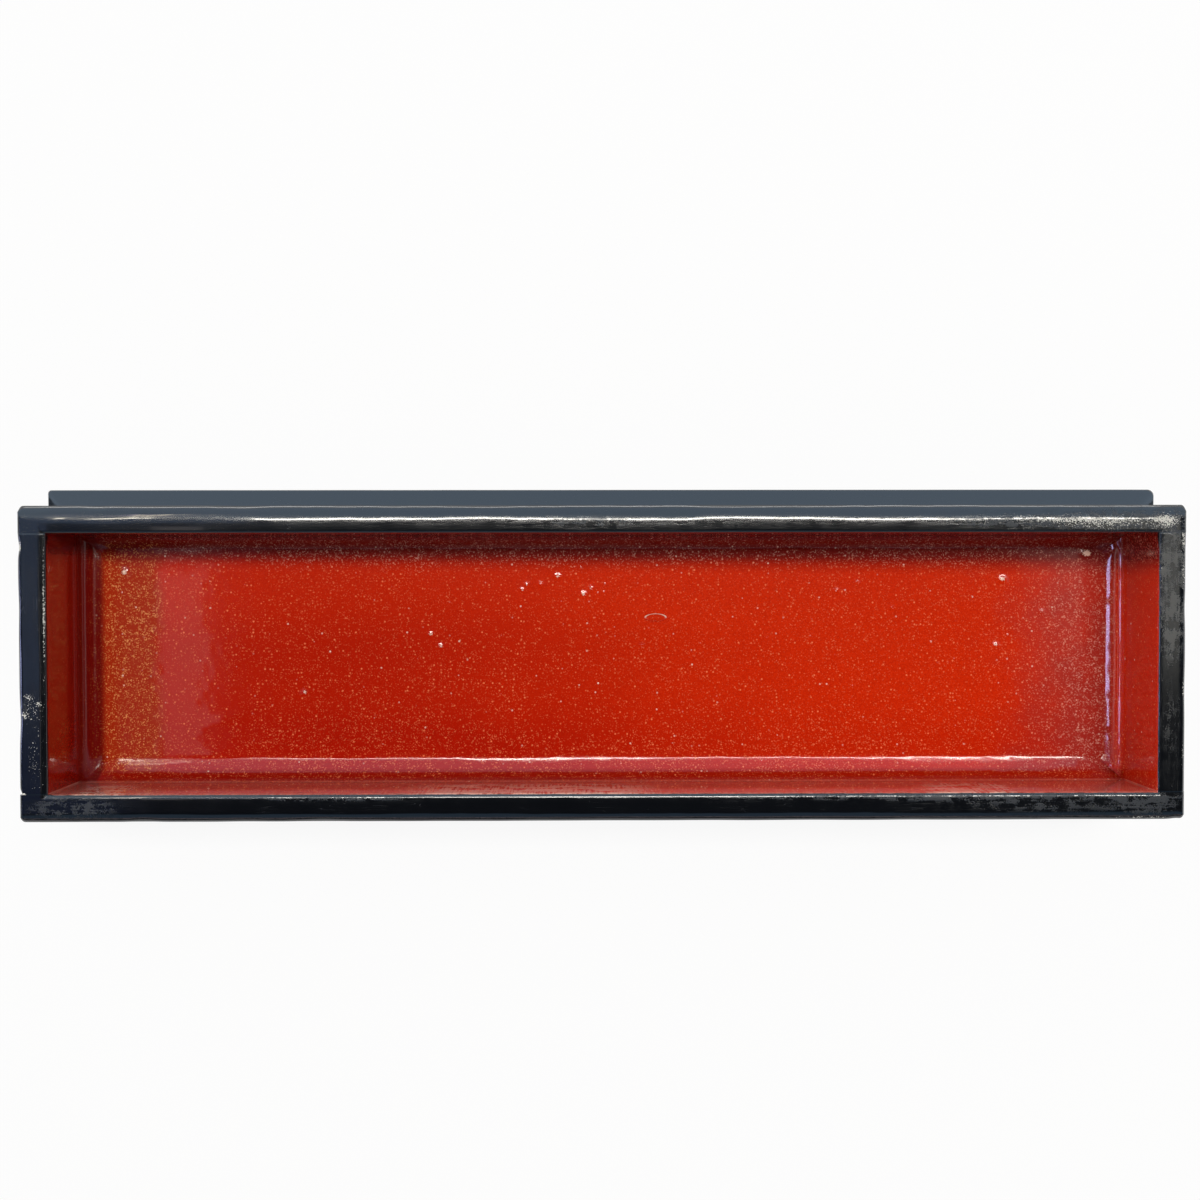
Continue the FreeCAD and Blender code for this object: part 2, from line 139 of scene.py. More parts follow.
def over_all(marks: tuple[Spot, ...], x: Array, y: Array) -> Array:
    """The sum of the spots' shares at each point.

    Args:
        marks: The spots.
        x: The points' places along the box, in metres.
        y: The points' places across the box, in metres.

    Returns:
        The sum of each amount times exp(-(dx^2 + dy^2)), with dx and dy in the spot's reaches.
    """
    total = np.zeros(np.broadcast(x, y).shape)
    for spot in marks:
        dx, dy = (x / MM - spot.x) / spot.reach_x, (y / MM - spot.y) / spot.reach_y
        total = total + spot.amount * np.exp(-(dx * dx + dy * dy))
    return total


def stations(run: float, pitch: float) -> Array:
    """Places along a wall, from its middle: pitch apart, and closer together at both ends.

    Args:
        run: The wall's length, in metres.
        pitch: The distance between places, in metres.

    Returns:
        The places, in order.
    """
    margin = 1.5 * MM
    near = np.array([0.0, 0.03, 0.1, 0.2, 0.35, 0.55, 0.8, 1.1]) * MM
    middle = np.linspace(margin - run / 2, run / 2 - margin, max(2, round((run - 2 * margin) / pitch)))
    return np.concatenate([near - run / 2, middle, (run / 2 - near)[::-1]])


def section(count: int, *parts: tuple[Array | float, Array | float]) -> tuple[Array, Array]:
    """A wall's closed section, at each of its stations.

    Args:
        count: The number of stations.
        *parts: The stretches of the section in order, each as its places across the wall and its heights.

    Returns:
        The places and the heights, each (stations, points).
    """
    grids = [np.broadcast_arrays(np.zeros((count, 1)), v, z)[1:] for v, z in parts]
    v, z = (np.concatenate(grid, axis=1) for grid in zip(*grids))
    return v, z


def grid_quads(index: Array) -> Array:
    """The four-cornered faces (n, 4) of a grid of vertex numbers."""
    here, across = index[:, :-1], index[:, 1:]
    return np.stack([here[:-1], across[:-1], across[1:], here[1:]], axis=-1).reshape(-1, 4)


def signed_volume(points: Array, faces: list[list[int]]) -> float:
    """Six times the volume inside the faces.

    Args:
        points: The vertices (n, 3).
        faces: The faces, as lists of vertex numbers.

    Returns:
        The sum of a . (b x c) over the fans of all faces.
    """
    total = 0.0
    for corners in {len(face) for face in faces}:
        same = points[np.array([face for face in faces if len(face) == corners])]
        for k in range(1, corners - 1):
            total += float(np.einsum("ij,ij->", same[:, 0], np.cross(same[:, k], same[:, k + 1])))
    return total


def add_object(name: str, data: bpy.types.ID) -> bpy.types.Object:
    """Puts an object into the scene.

    Args:
        name: Its name.
        data: Its mesh, light or camera.

    Returns:
        The object.
    """
    thing = bpy.data.objects.new(name, data)
    bpy.context.scene.collection.objects.link(thing)
    return thing


@dataclass
class Skin:
    """A closed surface on its way to becoming a piece."""

    name: str
    points: Array  # (n, 3), in metres
    faces: list[list[int]]
    crease: float = 40.0  # the angle in degrees past which an edge stays sharp
    layers: dict[str, Array] = field(default_factory=dict)  # values for each vertex that the material reads

    def make(self, body: str, slot: str, material: Material, *nodes: str) -> None:
        """Puts the surface into Blender, facing outwards, on its body and in place of its nodes.

        Args:
            body: The body that it rides on.
            slot: The record's material slot. Not used.
            material: Its material.
            *nodes: The nodes that it stands for.
        """
        faces = self.faces
        if signed_volume(self.points, faces) < 0:
            faces = [face[::-1] for face in faces]
        mesh = bpy.data.meshes.new(self.name)
        mesh.from_pydata(self.points.tolist(), [], faces)
        for layer, values in self.layers.items():
            mesh.attributes.new(layer, "FLOAT", "POINT").data.foreach_set("value", values.astype(np.float32).ravel())
        mesh.shade_smooth()
        mesh.set_sharp_from_angle(angle=math.radians(self.crease))
        mesh.materials.append(material)
        piece = add_object(self.name, mesh)
        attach(piece, body)
        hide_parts(*nodes)
        LOG.info("%s: %d faces, stands for %s", self.name, len(faces), ", ".join(nodes))


def tube(name: str, rings: Array, crease: float, **layers: Array) -> Skin:
    """A closed skin from rings that are joined in turn and closed by a face at each end.

    Args:
        name: The piece's name.
        rings: The rings (stations, points, 3).
        crease: The angle in degrees past which an edge stays sharp.
        **layers: Values for each vertex.

    Returns:
        The skin.
    """
    index = np.arange(rings.shape[0] * rings.shape[1]).reshape(rings.shape[:2])
    sides = grid_quads(np.column_stack([index, index[:, 0]])).tolist()
    return Skin(name, rings.reshape(-1, 3), [*sides, index[0].tolist(), index[-1][::-1].tolist()], crease, layers)


# ---- Shader maths ----


class Value:
    """A number that varies over a surface. Python's operators add the Math nodes."""

    def __init__(self, socket: Socket) -> None:
        """Wraps an output socket."""
        self.socket = socket

    def maths(self, operation: str, *others: "Value | float", swap: bool = False, clamp: bool = False) -> "Value":
        """Adds a Math node to the socket's tree.

        Args:
            operation: The Math node's operation.
            *others: The other inputs, as values or numbers.
            swap: Whether this value comes after the others.
            clamp: Whether the result stays from 0 to 1.

        Returns:
            The result.
        """
        tree = self.socket.id_data
        node = tree.nodes.new("ShaderNodeMath")
        node.operation, node.use_clamp = operation, clamp
        for place, term in zip(node.inputs, (*others, self) if swap else (self, *others)):
            if isinstance(term, Value):
                tree.links.new(term.socket, place)
            else:
                place.default_value = term
        return Value(node.outputs[0])

    def __add__(self, other: "Value | float") -> "Value":
        """This value plus the other."""
        return self.maths("ADD", other)

    def __sub__(self, other: "Value | float") -> "Value":
        """This value less the other."""
        return self.maths("SUBTRACT", other)

    def __rsub__(self, other: float) -> "Value":
        """The other less this value."""
        return self.maths("SUBTRACT", other, swap=True)

    def __mul__(self, other: "Value | float") -> "Value":
        """This value times the other."""
        return self.maths("MULTIPLY", other)

    __radd__ = __add__
    __rmul__ = __mul__

    def most(self, *others: "Value") -> "Value":
        """The largest of this value and the others."""
        return reduce(lambda first, second: first.maths("MAXIMUM", second), others, self)

    def size(self) -> "Value":
        """This value without its sign."""
        return self.maths("ABSOLUTE")

    def clamped(self) -> "Value":
        """This value held from 0 to 1."""
        return self.maths("ADD", 0.0, clamp=True)


class Shader:
    """The node tree of one material or world."""

    def __init__(self, owner: Material | bpy.types.World) -> None:
        """Empties the owner's node tree.

        Args:
            owner: The material or world.
        """
        owner.use_nodes = True
        self.owner, self.tree = owner, owner.node_tree
        self.tree.nodes.clear()

    def add(self, kind: str, sockets: dict | None = None, **settings: str) -> bpy.types.Node:
        """Adds a node.

        Args:
            kind: The node's type.
            sockets: The values or links of its input sockets, by name or number.
            **settings: Its settings, which are set first.

        Returns:
            The node.
        """
        node = self.tree.nodes.new(kind)
        for key, value in settings.items():
            setattr(node, key, value)
        for key, value in (sockets or {}).items():
            source = value.socket if isinstance(value, Value) else value
            if isinstance(source, Socket):
                self.tree.links.new(source, node.inputs[key])
            else:
                node.inputs[key].default_value = source
        return node

    def step(self, value: Value, low: float | Value, high: float | Value) -> Value:
        """A smooth step of a value, from 0 at low to 1 at high."""
        sockets = {"Value": value, "From Min": low, "From Max": high}
        return Value(self.add("ShaderNodeMapRange", sockets, interpolation_type="SMOOTHSTEP").outputs["Result"])

    def around(self, value: Value, middle: float, outer: float, inner: float) -> Value:
        """1 where a value is within inner of a middle, and 0 where it is further off than outer."""
        return self.step((value - middle).size(), outer, inner)

    def between(self, value: Value, ends: Pair, soft: float) -> Value:
        """1 where a value is between its ends and 0 outside, with borders that fade over a width."""
        (low, high), half = ends, soft / 2
        return self.step(value, low - half, low + half) * self.step(value, high + half, high - half)

    def blend(self, share: Value, first: Colour | Socket, second: Colour | Socket) -> Socket:
        """A colour between two others."""
        ends = [colour if isinstance(colour, Socket) else (*colour, 1.0) for colour in (first, second)]
        return self.add("ShaderNodeMix", {0: share, 6: ends[0], 7: ends[1]}, data_type="RGBA").outputs[2]

    def millimetres(self, stretch: Colour = (1.0, 1.0, 1.0)) -> Socket:
        """Object coordinates in millimetres, each axis times its stretch."""
        factors = {0: self.add("ShaderNodeTexCoord").outputs["Object"], 1: tuple(1000.0 * s for s in stretch)}
        return self.add("ShaderNodeVectorMath", factors, operation="MULTIPLY").outputs[0]

    def axes(self) -> tuple[Value, Value, Value]:
        """Object coordinates in millimetres, as three values."""
        node = self.add("ShaderNodeSeparateXYZ", {0: self.millimetres()})
        return Value(node.outputs[0]), Value(node.outputs[1]), Value(node.outputs[2])

    def noise(self, place: Socket, wave: float, detail: float = 2.0, twist: float = 0.0) -> Value:
        """Noise from 0 to 1 with bumps of a given width in the units of place."""
        sockets = {"Vector": place, "Scale": 1.0 / wave, "Detail": detail, "Distortion": twist}
        return Value(self.add("ShaderNodeTexNoise", sockets).outputs["Fac"])

    def specks(self, place: Socket, cell: float, radius: float, keep: Value | float, mixed: bool = False) -> Value:
        """Round specks, at most one to a cell.

        Args:
            place: The coordinates.
            cell: The width of a cell, in their units.
            radius: The radius of a speck, in the same units.
            keep: The share of cells that have a speck.
            mixed: Whether the specks are of many strengths, mostly weak.

        Returns:
            1 in the middle of a strong speck, 0 outside all of them.
        """
        cells = self.add("ShaderNodeTexVoronoi", {"Vector": place, "Scale": 1.0 / cell})
        lots = self.add("ShaderNodeSeparateColor", {0: cells.outputs["Color"]})
        near = self.step(Value(cells.outputs["Distance"]), radius / cell, 0.35 * radius / cell)
        speck = near * Value(lots.outputs[0]).maths("LESS_THAN", keep)
        return speck * Value(lots.outputs[1]).maths("POWER", 2.5) if mixed else speck

    def layer(self, name: str) -> Value:
        """A layer of values of the mesh."""
        return Value(self.add("ShaderNodeAttribute", attribute_name=name).outputs["Fac"])

    def seen(self) -> Value:
        """1 for rays of the camera, of gloss and of clear materials, else 0."""
        rays = self.add("ShaderNodeLightPath").outputs
        return Value(rays["Is Camera Ray"]).most(Value(rays["Is Glossy Ray"]), Value(rays["Is Transmission Ray"]))

    def cover(self, height: Value, strength: float, sockets: dict) -> Material:
        """Ends a material with a principled surface in relief.

        Args:
            height: The relief, in millimetres.
            strength: The share of the relief that shows.
            sockets: The surface's other sockets.

        Returns:
            The material.
        """
        bump = self.add("ShaderNodeBump", {"Strength": strength, "Distance": MM, "Height": height})
        body = self.add("ShaderNodeBsdfPrincipled", {**sockets, "Normal": bump.outputs[0]})
        self.add("ShaderNodeOutputMaterial", {"Surface": body.outputs[0]})
        return self.owner


# ---- Finishes, with places and heights in millimetres of the row frame. The tray's floor is at 30.5. ----


@dataclass
class Surface:
    """What a finish puts on a surface."""

    colour: Socket
    roughness: Value
    height: Value  # the relief, in millimetres
    coat: Value  # the share of clear lacquer over it


class Brushing(Enum):
    """The way that a board was brushed and rubbed, as the stretch of its streaks."""

    ALONG_X = (0.09, 1.0, 1.0)
    ALONG_Y = (1.0, 0.09, 1.0)


@dataclass(frozen=True)
class BlackLacquer:
    """Black lacquer over wood, rubbed dull and chipped where hands and the lid wear it, with painted highlights on
    some rim edges.
    """

    brushing: Brushing
    worn: bool  # whether the mesh has the layers rub and chip
    film: Colour = (0.0035, 0.0042, 0.0060)
    dull: Colour = (0.026, 0.027, 0.030)  # the colour of rubbed lacquer
    ground_and_glint: Colour = (0.62, 0.60, 0.54)  # the pale underlayer that chipping lays bare, and painted highlights on the rims' edges

    def on(self, shader: Shader) -> Surface:
        """The finish as nodes.

        Args:
            shader: The tree that they go into.

        Returns:
            The surface.
        """
        place, brushed = shader.millimetres(), self.brushing.value
        swell = shader.noise(place, 11.0, 1.0)
        peel = shader.noise(place, 1.3)
        grain = shader.noise(place, 0.3)
        cloud = shader.noise(place, 6.0, 3.0)
        streak = shader.noise(shader.millimetres(brushed), 0.55, 3.0)
        hair = shader.noise(shader.millimetres(tuple(0.5 * part for part in brushed)), 0.6, 1.0, 0.6)
        scratch = shader.around(hair, 0.5, 0.006, 0.0) * shader.step(cloud, 0.52, 0.7)
        dust = shader.specks(place, 2.3, 0.16, 0.2)
        height = swell * 0.05 + peel * 0.006 + grain * 0.0006 + scratch * -0.003 + dust * 0.012
        roughness = 0.1 + cloud * 0.1 + scratch * 0.25
        colour = shader.blend(scratch * 0.5, self.film, self.dull)
        coat = 1.0 - scratch * 0.6
        if self.worn:
            # A rub dulls the gloss by its strength, mottled by streaks, blotches and grain.
            blotch = shader.noise(place, 2.4, 4.0)
            mottle = shader.step(streak * 0.6 + blotch * 0.8 + grain * 0.5, 0.86, 1.06)
            wear = (shader.layer("rub") * (mottle * 1.9 + 0.12)).clamped()
            patch = shader.step(wear, 0.4, 0.9)
            # Chipping lays the pale underlayer bare; on the back rim's right end and the right rim's outer edge these
            # pale patches are painted highlights too.
            flaking_and_glint = shader.layer("chip") + grain * 1.4 + shader.noise(place, 0.7) * 0.3
            flake_and_glint = shader.step(flaking_and_glint, 1.3, 1.4)
            colour = shader.blend(flake_and_glint, shader.blend(patch * 0.8, colour, self.dull), self.ground_and_glint)
            roughness = roughness + wear * 0.26 + patch * 0.1 + flake_and_glint * 0.4
            height = height + (grain * 0.014 + streak * 0.02) * wear + blotch * patch * 0.05 - flake_and_glint * 0.03
            coat = coat * (1.0 - wear * 0.9) * (1.0 - flake_and_glint)
        return Surface(colour, roughness.clamped(), height, coat.clamped())


class Ring(Spot):
    """An oval mark in the lacquer, left by a bubble. Its amount is the height of its ridge."""

    def ridge(self, shader: Shader, x: Value, y: Value) -> Value:
        """The ridge, from 0 to 1: a smooth hump where (dx/rx)^2 + (dy/ry)^2 is 1."""
        dx, dy = (x - self.x) * (1 / self.reach_x), (y - self.y) * (1 / self.reach_y)
        return shader.around(dx * dx + dy * dy, 1.0, 0.3, 0.0)


@dataclass(frozen=True)
class RedLacquer:
    """Vermilion lacquer, brushed on thick over the putty, with orange peel and dust caught in it, and painted light
    and shade.
    """

    film: Colour = (0.67, 0.024, 0.0010)
    deep: Colour = (0.43, 0.008, 0.0005)  # where it lies thick, and as painted shade to the left and along the front
    shade: Colour = (0.14, 0.0026, 0.0012)  # painted shade: along the back, on the left end and in the front corner
    painted_light_left: Colour = (0.36, 0.030, 0.006)  # painted shade and reflection beside the left cove
    dust_and_painted_light: Colour = (0.31, 0.018, 0.012)  # at the right end: settled dust, with painted shade and reflection
    fleck_and_glint: Colour = (0.86, 0.21, 0.08)  # the fine dust, painted as glints too
    gold_fleck_and_glint: Colour = (0.84, 0.34, 0.10)  # the fine dust beside the left cove, painted golden as glints too
    ash_fleck_and_glint: Colour = (0.68, 0.30, 0.22)  # the fine dust along the back and at the right end, painted as glints too
    dust: Colour = (0.95, 0.66, 0.50)  # the coarse dust, painted pale as its highlights too, and the painted highlight on the ring
    painted_reflection: Colour = (0.94, 0.62, 0.49)  # painted reflection on the front wall
    ring: Ring = Ring(12.2, 9.3, 2.4, 0.85, 0.12)

    def on(self, shader: Shader, nibs: bool = False) -> Surface:
        """The finish as nodes.

        Args:
            shader: The tree that they go into.
            nibs: Whether the mesh has the layer nib.

        Returns:
            The surface.
        """
        place = shader.millimetres()
        x, y, z = shader.axes()
        level = shader.step(z, 32.5, 31.0)
        cloud = shader.noise(place, 26.0)
        wander = shader.noise(place, 12.0, 3.0) - 0.5
        left = shader.step(x + wander * 6.0, -101.0, -105.0) * level
        right = shader.step(x + y * -0.12 + wander * 40.0, 84.0, 122.0) * level
        rear = shader.step(y + wander * 4.0, 19.5, 24.5)
        front = shader.step(y + wander * 8.0, -8.0, -24.0)
        # Where dust and painted glints lie thickest: the ends, the back and the front.
        dust_and_painted_light = left.most(right, rear * 0.8, front * 0.45)
        peel = shader.noise(place, 1.1)
        fine = shader.noise(place, 0.34)

        # Fine grit in drifts, dots of many strengths among it, and few coarse specks: dust, painted in part as
        # glints. The left cove is clean.
        clean = 1.0 - shader.step(x, -114.8, -117.0) * 0.85
        lift = dust_and_painted_light * 0.06 + (cloud - 0.5) * 0.12
        drift = shader.step(shader.noise(place, 1.6, 1.0), 0.25, 0.7)
        grit = shader.step(shader.noise(place, 0.36, 1.0) + lift, 0.57, 0.74) * drift
        dots = shader.specks(place, 0.85, 0.3, 0.75 + dust_and_painted_light * 0.25, True)
        fleck_and_glint = (grit * (0.55 + dust_and_painted_light * 0.35)).most(dots) * clean
        motes_and_glints = shader.specks(place, 2.0, 0.3, 0.4 + dust_and_painted_light * 0.3, True).most(shader.specks(place, 6.5, 0.3, 0.28))
        if nibs:
            motes_and_glints = motes_and_glints.most(shader.step(shader.layer("nib") * 6.0 + (fine - 0.5) * 1.6, 0.5, 0.85))
        motes_and_glints = motes_and_glints * clean

        # Painted shade and light: darker to the left and along the front, lighter towards the back, brightest right
        # of the middle.
        depth = shader.step(x + cloud * 40.0, 80.0, -40.0) * 0.8 + front * 0.35 - shader.step(y, 0.0, 18.0) * 0.45
        fleck_and_glint_tint = shader.blend(left, shader.blend(right.most(rear), self.fleck_and_glint, self.ash_fleck_and_glint), self.gold_fleck_and_glint)
        # Pale: the coarse specks, partly painted highlights, and a painted highlight along the back half of the
        # ring's ridge.
        ridge = self.ring.ridge(shader, x, y) * level
        pale = motes_and_glints.most(ridge * shader.step(y, self.ring.y - 0.3, self.ring.y + 0.3))
        colour = self.film
        for share, other in (
            (depth.clamped(), self.deep),
            (shader.step(fine, 0.62, 0.34) * 0.4, self.deep),
            (left * 0.7, self.painted_light_left),
            (right * 0.85, self.dust_and_painted_light),
            (self.painted_shade_share(shader, x, y, z).clamped(), self.shade),
            (self.painted_reflection_share(shader, x, y, z), self.painted_reflection),
            (fleck_and_glint * (0.95 - rear * 0.25), fleck_and_glint_tint),
            (pale * 0.9, self.dust),
        ):
            colour = shader.blend(share, colour, other)

        # The hollows of the left cove, and of the front one above its foot, have lost their gloss. So has the
        # front one's foot, but for three stretches.
        height = peel * 0.009 + fine * 0.003 + fleck_and_glint * 0.006 + motes_and_glints * 0.06 + ridge * self.ring.amount
        haze = right * shader.step(x, 117.6, 117.1) * shader.step(y, -23.1, -22.7)
        hollow = (shader.step(y, -24.6, -25.4) * shader.step(z, 31.2, 31.7)).most(shader.step(x, -115.5, -117.0))
        matt = hollow * shader.step(z, 36.0, 35.0)
        kept = shader.around(x, -12.6, 25.0, 21.0)
        kept = kept.most(shader.around(x, 92.0, 26.0, 22.0), shader.around(x, -110.0, 8.0, 6.5))
        foot = shader.step(y, -22.5, -22.8) * shader.step(y, -23.9, -23.5) * (1.0 - kept)
        coat = (1.0 - haze * 0.9) * (1.0 - motes_and_glints * 0.6) * (1.0 - matt * 0.8) * (1.0 - foot * 0.8)
        return Surface(colour, (0.1 + fine * 0.05 + haze * 0.1).clamped(), height, coat.clamped())

    def painted_shade_share(self, shader: Shader, x: Value, y: Value, z: Value) -> Value:
        """How much painted shade lies on the lacquer: on the left end, along the back and in the front corner.

        Args:
            shader: The tree.
            x: Places along the box.
            y: Places across the box.
            z: Heights.

        Returns:
            The share of the painted shade.
        """
        high = shader.step(z, 33.5, 35.5)
        left = shader.step(x, -115.4, -117.2) * (1.0 - high * 0.45)
        back = shader.step(y + x * 0.008, 19.2, 24.6) * 0.9
        corner = shader.step(y, -25.6, -26.6) * (1.0 - high) * 0.45
        return left.most(back, corner)

    def painted_reflection_share(self, shader: Shader, x: Value, y: Value, z: Value) -> Value:
        """How much painted reflection lies on the front wall's inside: an even share, and three streaky places.

        Args:
            shader: The tree.
            x: Places along the box.
            y: Places across the box.
            z: Heights.

        Returns:
            The share of the painted reflection.
        """
        streaks = shader.noise(shader.millimetres((0.2, 1.0, 1.0)), 1.2, 3.0)
        hatching = shader.noise(shader.millimetres((1.0, 1.0, 0.1)), 0.6)
        middles = ((-110.0, 7.0), (-16.0, 32.0), (81.0, 12.0))
        first, *others = (shader.around(x, middle, reach, reach * 0.4) for middle, reach in middles)
        streaky = shader.step(streaks * 0.7 + hatching * 0.4, 0.46, 0.6)
        pale = first.most(*others) * streaky * shader.step(z, 37.0, 42.0)
        return (shader.step(y, -27.9, -28.1) * shader.step(z, 33.0, 36.0) * (hatching * 0.5 + pale)).clamped()


def lacquer(name: str, finish: Callable[[Shader], Surface], coat: float, specular: float) -> Material:
    """A material from a finish.

    Args:
        name: The material's name.
        finish: A function that puts the finish into a shader and returns its surface.
        coat: The most that the clear lacquer weighs.
        specular: The film's specular level.

    Returns:
        The material.
    """
    shader = Shader(bpy.data.materials.new(name))
    surface = finish(shader)
    sockets = {
        "Base Color": surface.colour,
        "Roughness": surface.roughness,
        "Specular IOR Level": specular,
        "Coat Weight": surface.coat * coat,
        "Coat Roughness": 0.04,
        "Coat IOR": 1.5,
    }
    return shader.cover(surface.height, 1.0, sockets)


@dataclass(frozen=True)
class Bamboo:
    """Split bamboo for the pegs, with its fibres along the peg."""

    pale: Colour = (0.66, 0.49, 0.27)  # between the fibres
    fibre: Colour = (0.40, 0.26, 0.12)
    along: Colour = (1.0, 1.0, 0.06)  # how much slower the pattern changes along each axis

    def paint(self, name: str) -> Material:
        """The bamboo's material.

        Args:
            name: The material's name.

        Returns:
            The material.
        """
        shader = Shader(bpy.data.materials.new(name))
        strands = shader.noise(shader.millimetres(self.along), 0.14, 3.0)
        colour = shader.blend(shader.step(strands, 0.42, 0.62), self.pale, self.fibre)
        return shader.cover(strands * 0.03, 0.6, {"Base Color": colour, "Roughness": 0.5 + strands * 0.3})


@dataclass(frozen=True)
class Finishes:
    """The box's materials."""

    red: Material
    tray_long_wall: Material
    tray_end_wall: Material
    floor_board: Material
    lid: Material
    upright_pegs: Material
    level_pegs: Material


def two_tone(shader: Shader, inside: Value, red: Surface, black: Surface) -> Surface:
    """Red lacquer on the inside of a board and black on the rest.

    Args:
        shader: The tree.
        inside: 1 where the board is red, 0 where it is black.
        red: The red lacquer, which lies a little higher.
        black: The black lacquer.

    Returns:
        The surface.
    """
    outside = 1.0 - inside
    return Surface(
        shader.blend(inside, black.colour, red.colour),
        red.roughness * inside + black.roughness * outside,
        red.height * inside + black.height * outside + inside * 0.02,
        red.coat * inside + black.coat * outside,
    )


# ---- The tray ----


@dataclass(kw_only=True)
class Half:
    """What both halves of the box have: four walls, of which the long ones run through. Sizes are in metres."""

    length: float  # outside
    width: float  # outside
    wall: float  # the walls' thickness
    edge_round: float  # the rounding of the upright corners and the foot

    @property
    def inner_length(self) -> float:
        """The length inside the walls."""
        return self.length - 2 * self.wall

    @property
    def inner_width(self) -> float:
        """The width inside the walls."""
        return self.width - 2 * self.wall

    def run(self, side: Side) -> float:
        """The length of a side's wall."""
        return self.length if side.is_long else self.inner_width

    def foot_arc(self) -> tuple[Array, Array]:
        """A quarter circle round the foot, as places across the wall and heights: r (1 + cos a), r (1 + sin a)."""
        turn = np.radians(np.linspace(-90, -180, 6))
        return self.edge_round * (1 + np.cos(turn)), self.edge_round * (1 + np.sin(turn))

    def corner(self, side: Side, u: Array) -> Array:
        """How far a long wall's face falls back round its upright ends: r - sqrt(r^2 - d^2), a quarter circle."""
        r = self.edge_round if side.is_long else 0.0
        return r - np.sqrt(r**2 - np.clip(r - (self.length / 2 - np.abs(u)), 0, r) ** 2)

    def place(self, side: Side, u: Array, v: Array, z: Array) -> Array:
        """Carries points from a wall's own frame to its side, by a quarter turn for each side.

        Args:
            side: The side.
            u: The points' places along the wall.
            v: Their places across it.
            z: Their heights.

        Returns:
            The points (..., 3) in the row frame.
        """
        u, v, z = np.broadcast_arrays(u, v, z)
        inwards = (self.width if side.is_long else self.length) / 2 - v
        x, y = ((u, -inwards), (inwards, u), (-u, inwards), (-inwards, -u))[side.value]
        return np.stack([x, y, z], axis=-1)


@dataclass(frozen=True)
class RimShape:
    """How one wall's rim falls away from its ridge, as slopes in degrees at places across the wall."""

    places: tuple[float, ...]  # distances from the outer face, in millimetres, up to the wall's thickness
    slopes: tuple[float, ...]  # the rim's tilt there, positive towards the outer face
    ridge: float  # the place of its highest point, in millimetres

    def heights(self, across: Array) -> Array:
        """The rim's height against its ridge: the running sum of the slopes' tangents.

        Args:
            across: Places across the wall from the outer face, in metres.

        Returns:
            Heights in metres, none above 0.
        """
        fine = np.linspace(0.0, self.places[-1], 500)
        slope = np.tan(np.radians(np.interp(fine, self.places, self.slopes)))
        height = np.concatenate([[0.0], np.cumsum((slope[1:] + slope[:-1]) / 2 * np.diff(fine))])
        height -= np.interp(self.ridge, fine, height)
        return np.minimum(np.interp(across / MM, fine, height), 0.0) * MM

    def outer_part(self, across: Array) -> Array:
        """The fall between the ridge and the outer face, and 0 elsewhere."""
        return self.heights(np.minimum(across, self.ridge * MM))

    def inner_part(self, across: Array) -> Array:
        """The fall between the ridge and the inner face, and 0 elsewhere."""
        return self.heights(np.maximum(across, self.ridge * MM))


@dataclass(frozen=True)
class TrayWall:
    """What sets one wall of the tray apart."""

    rim: RimShape
    rubs: tuple[Spot, ...]  # where the lacquer is rubbed dull
    chips: tuple[Spot, ...]  # where it is chipped, and where highlights are painted on its edges
    dents: tuple[Spot, ...]  # where the outer edge is knocked in, with the depth in millimetres
    seed: int  # of its unevenness


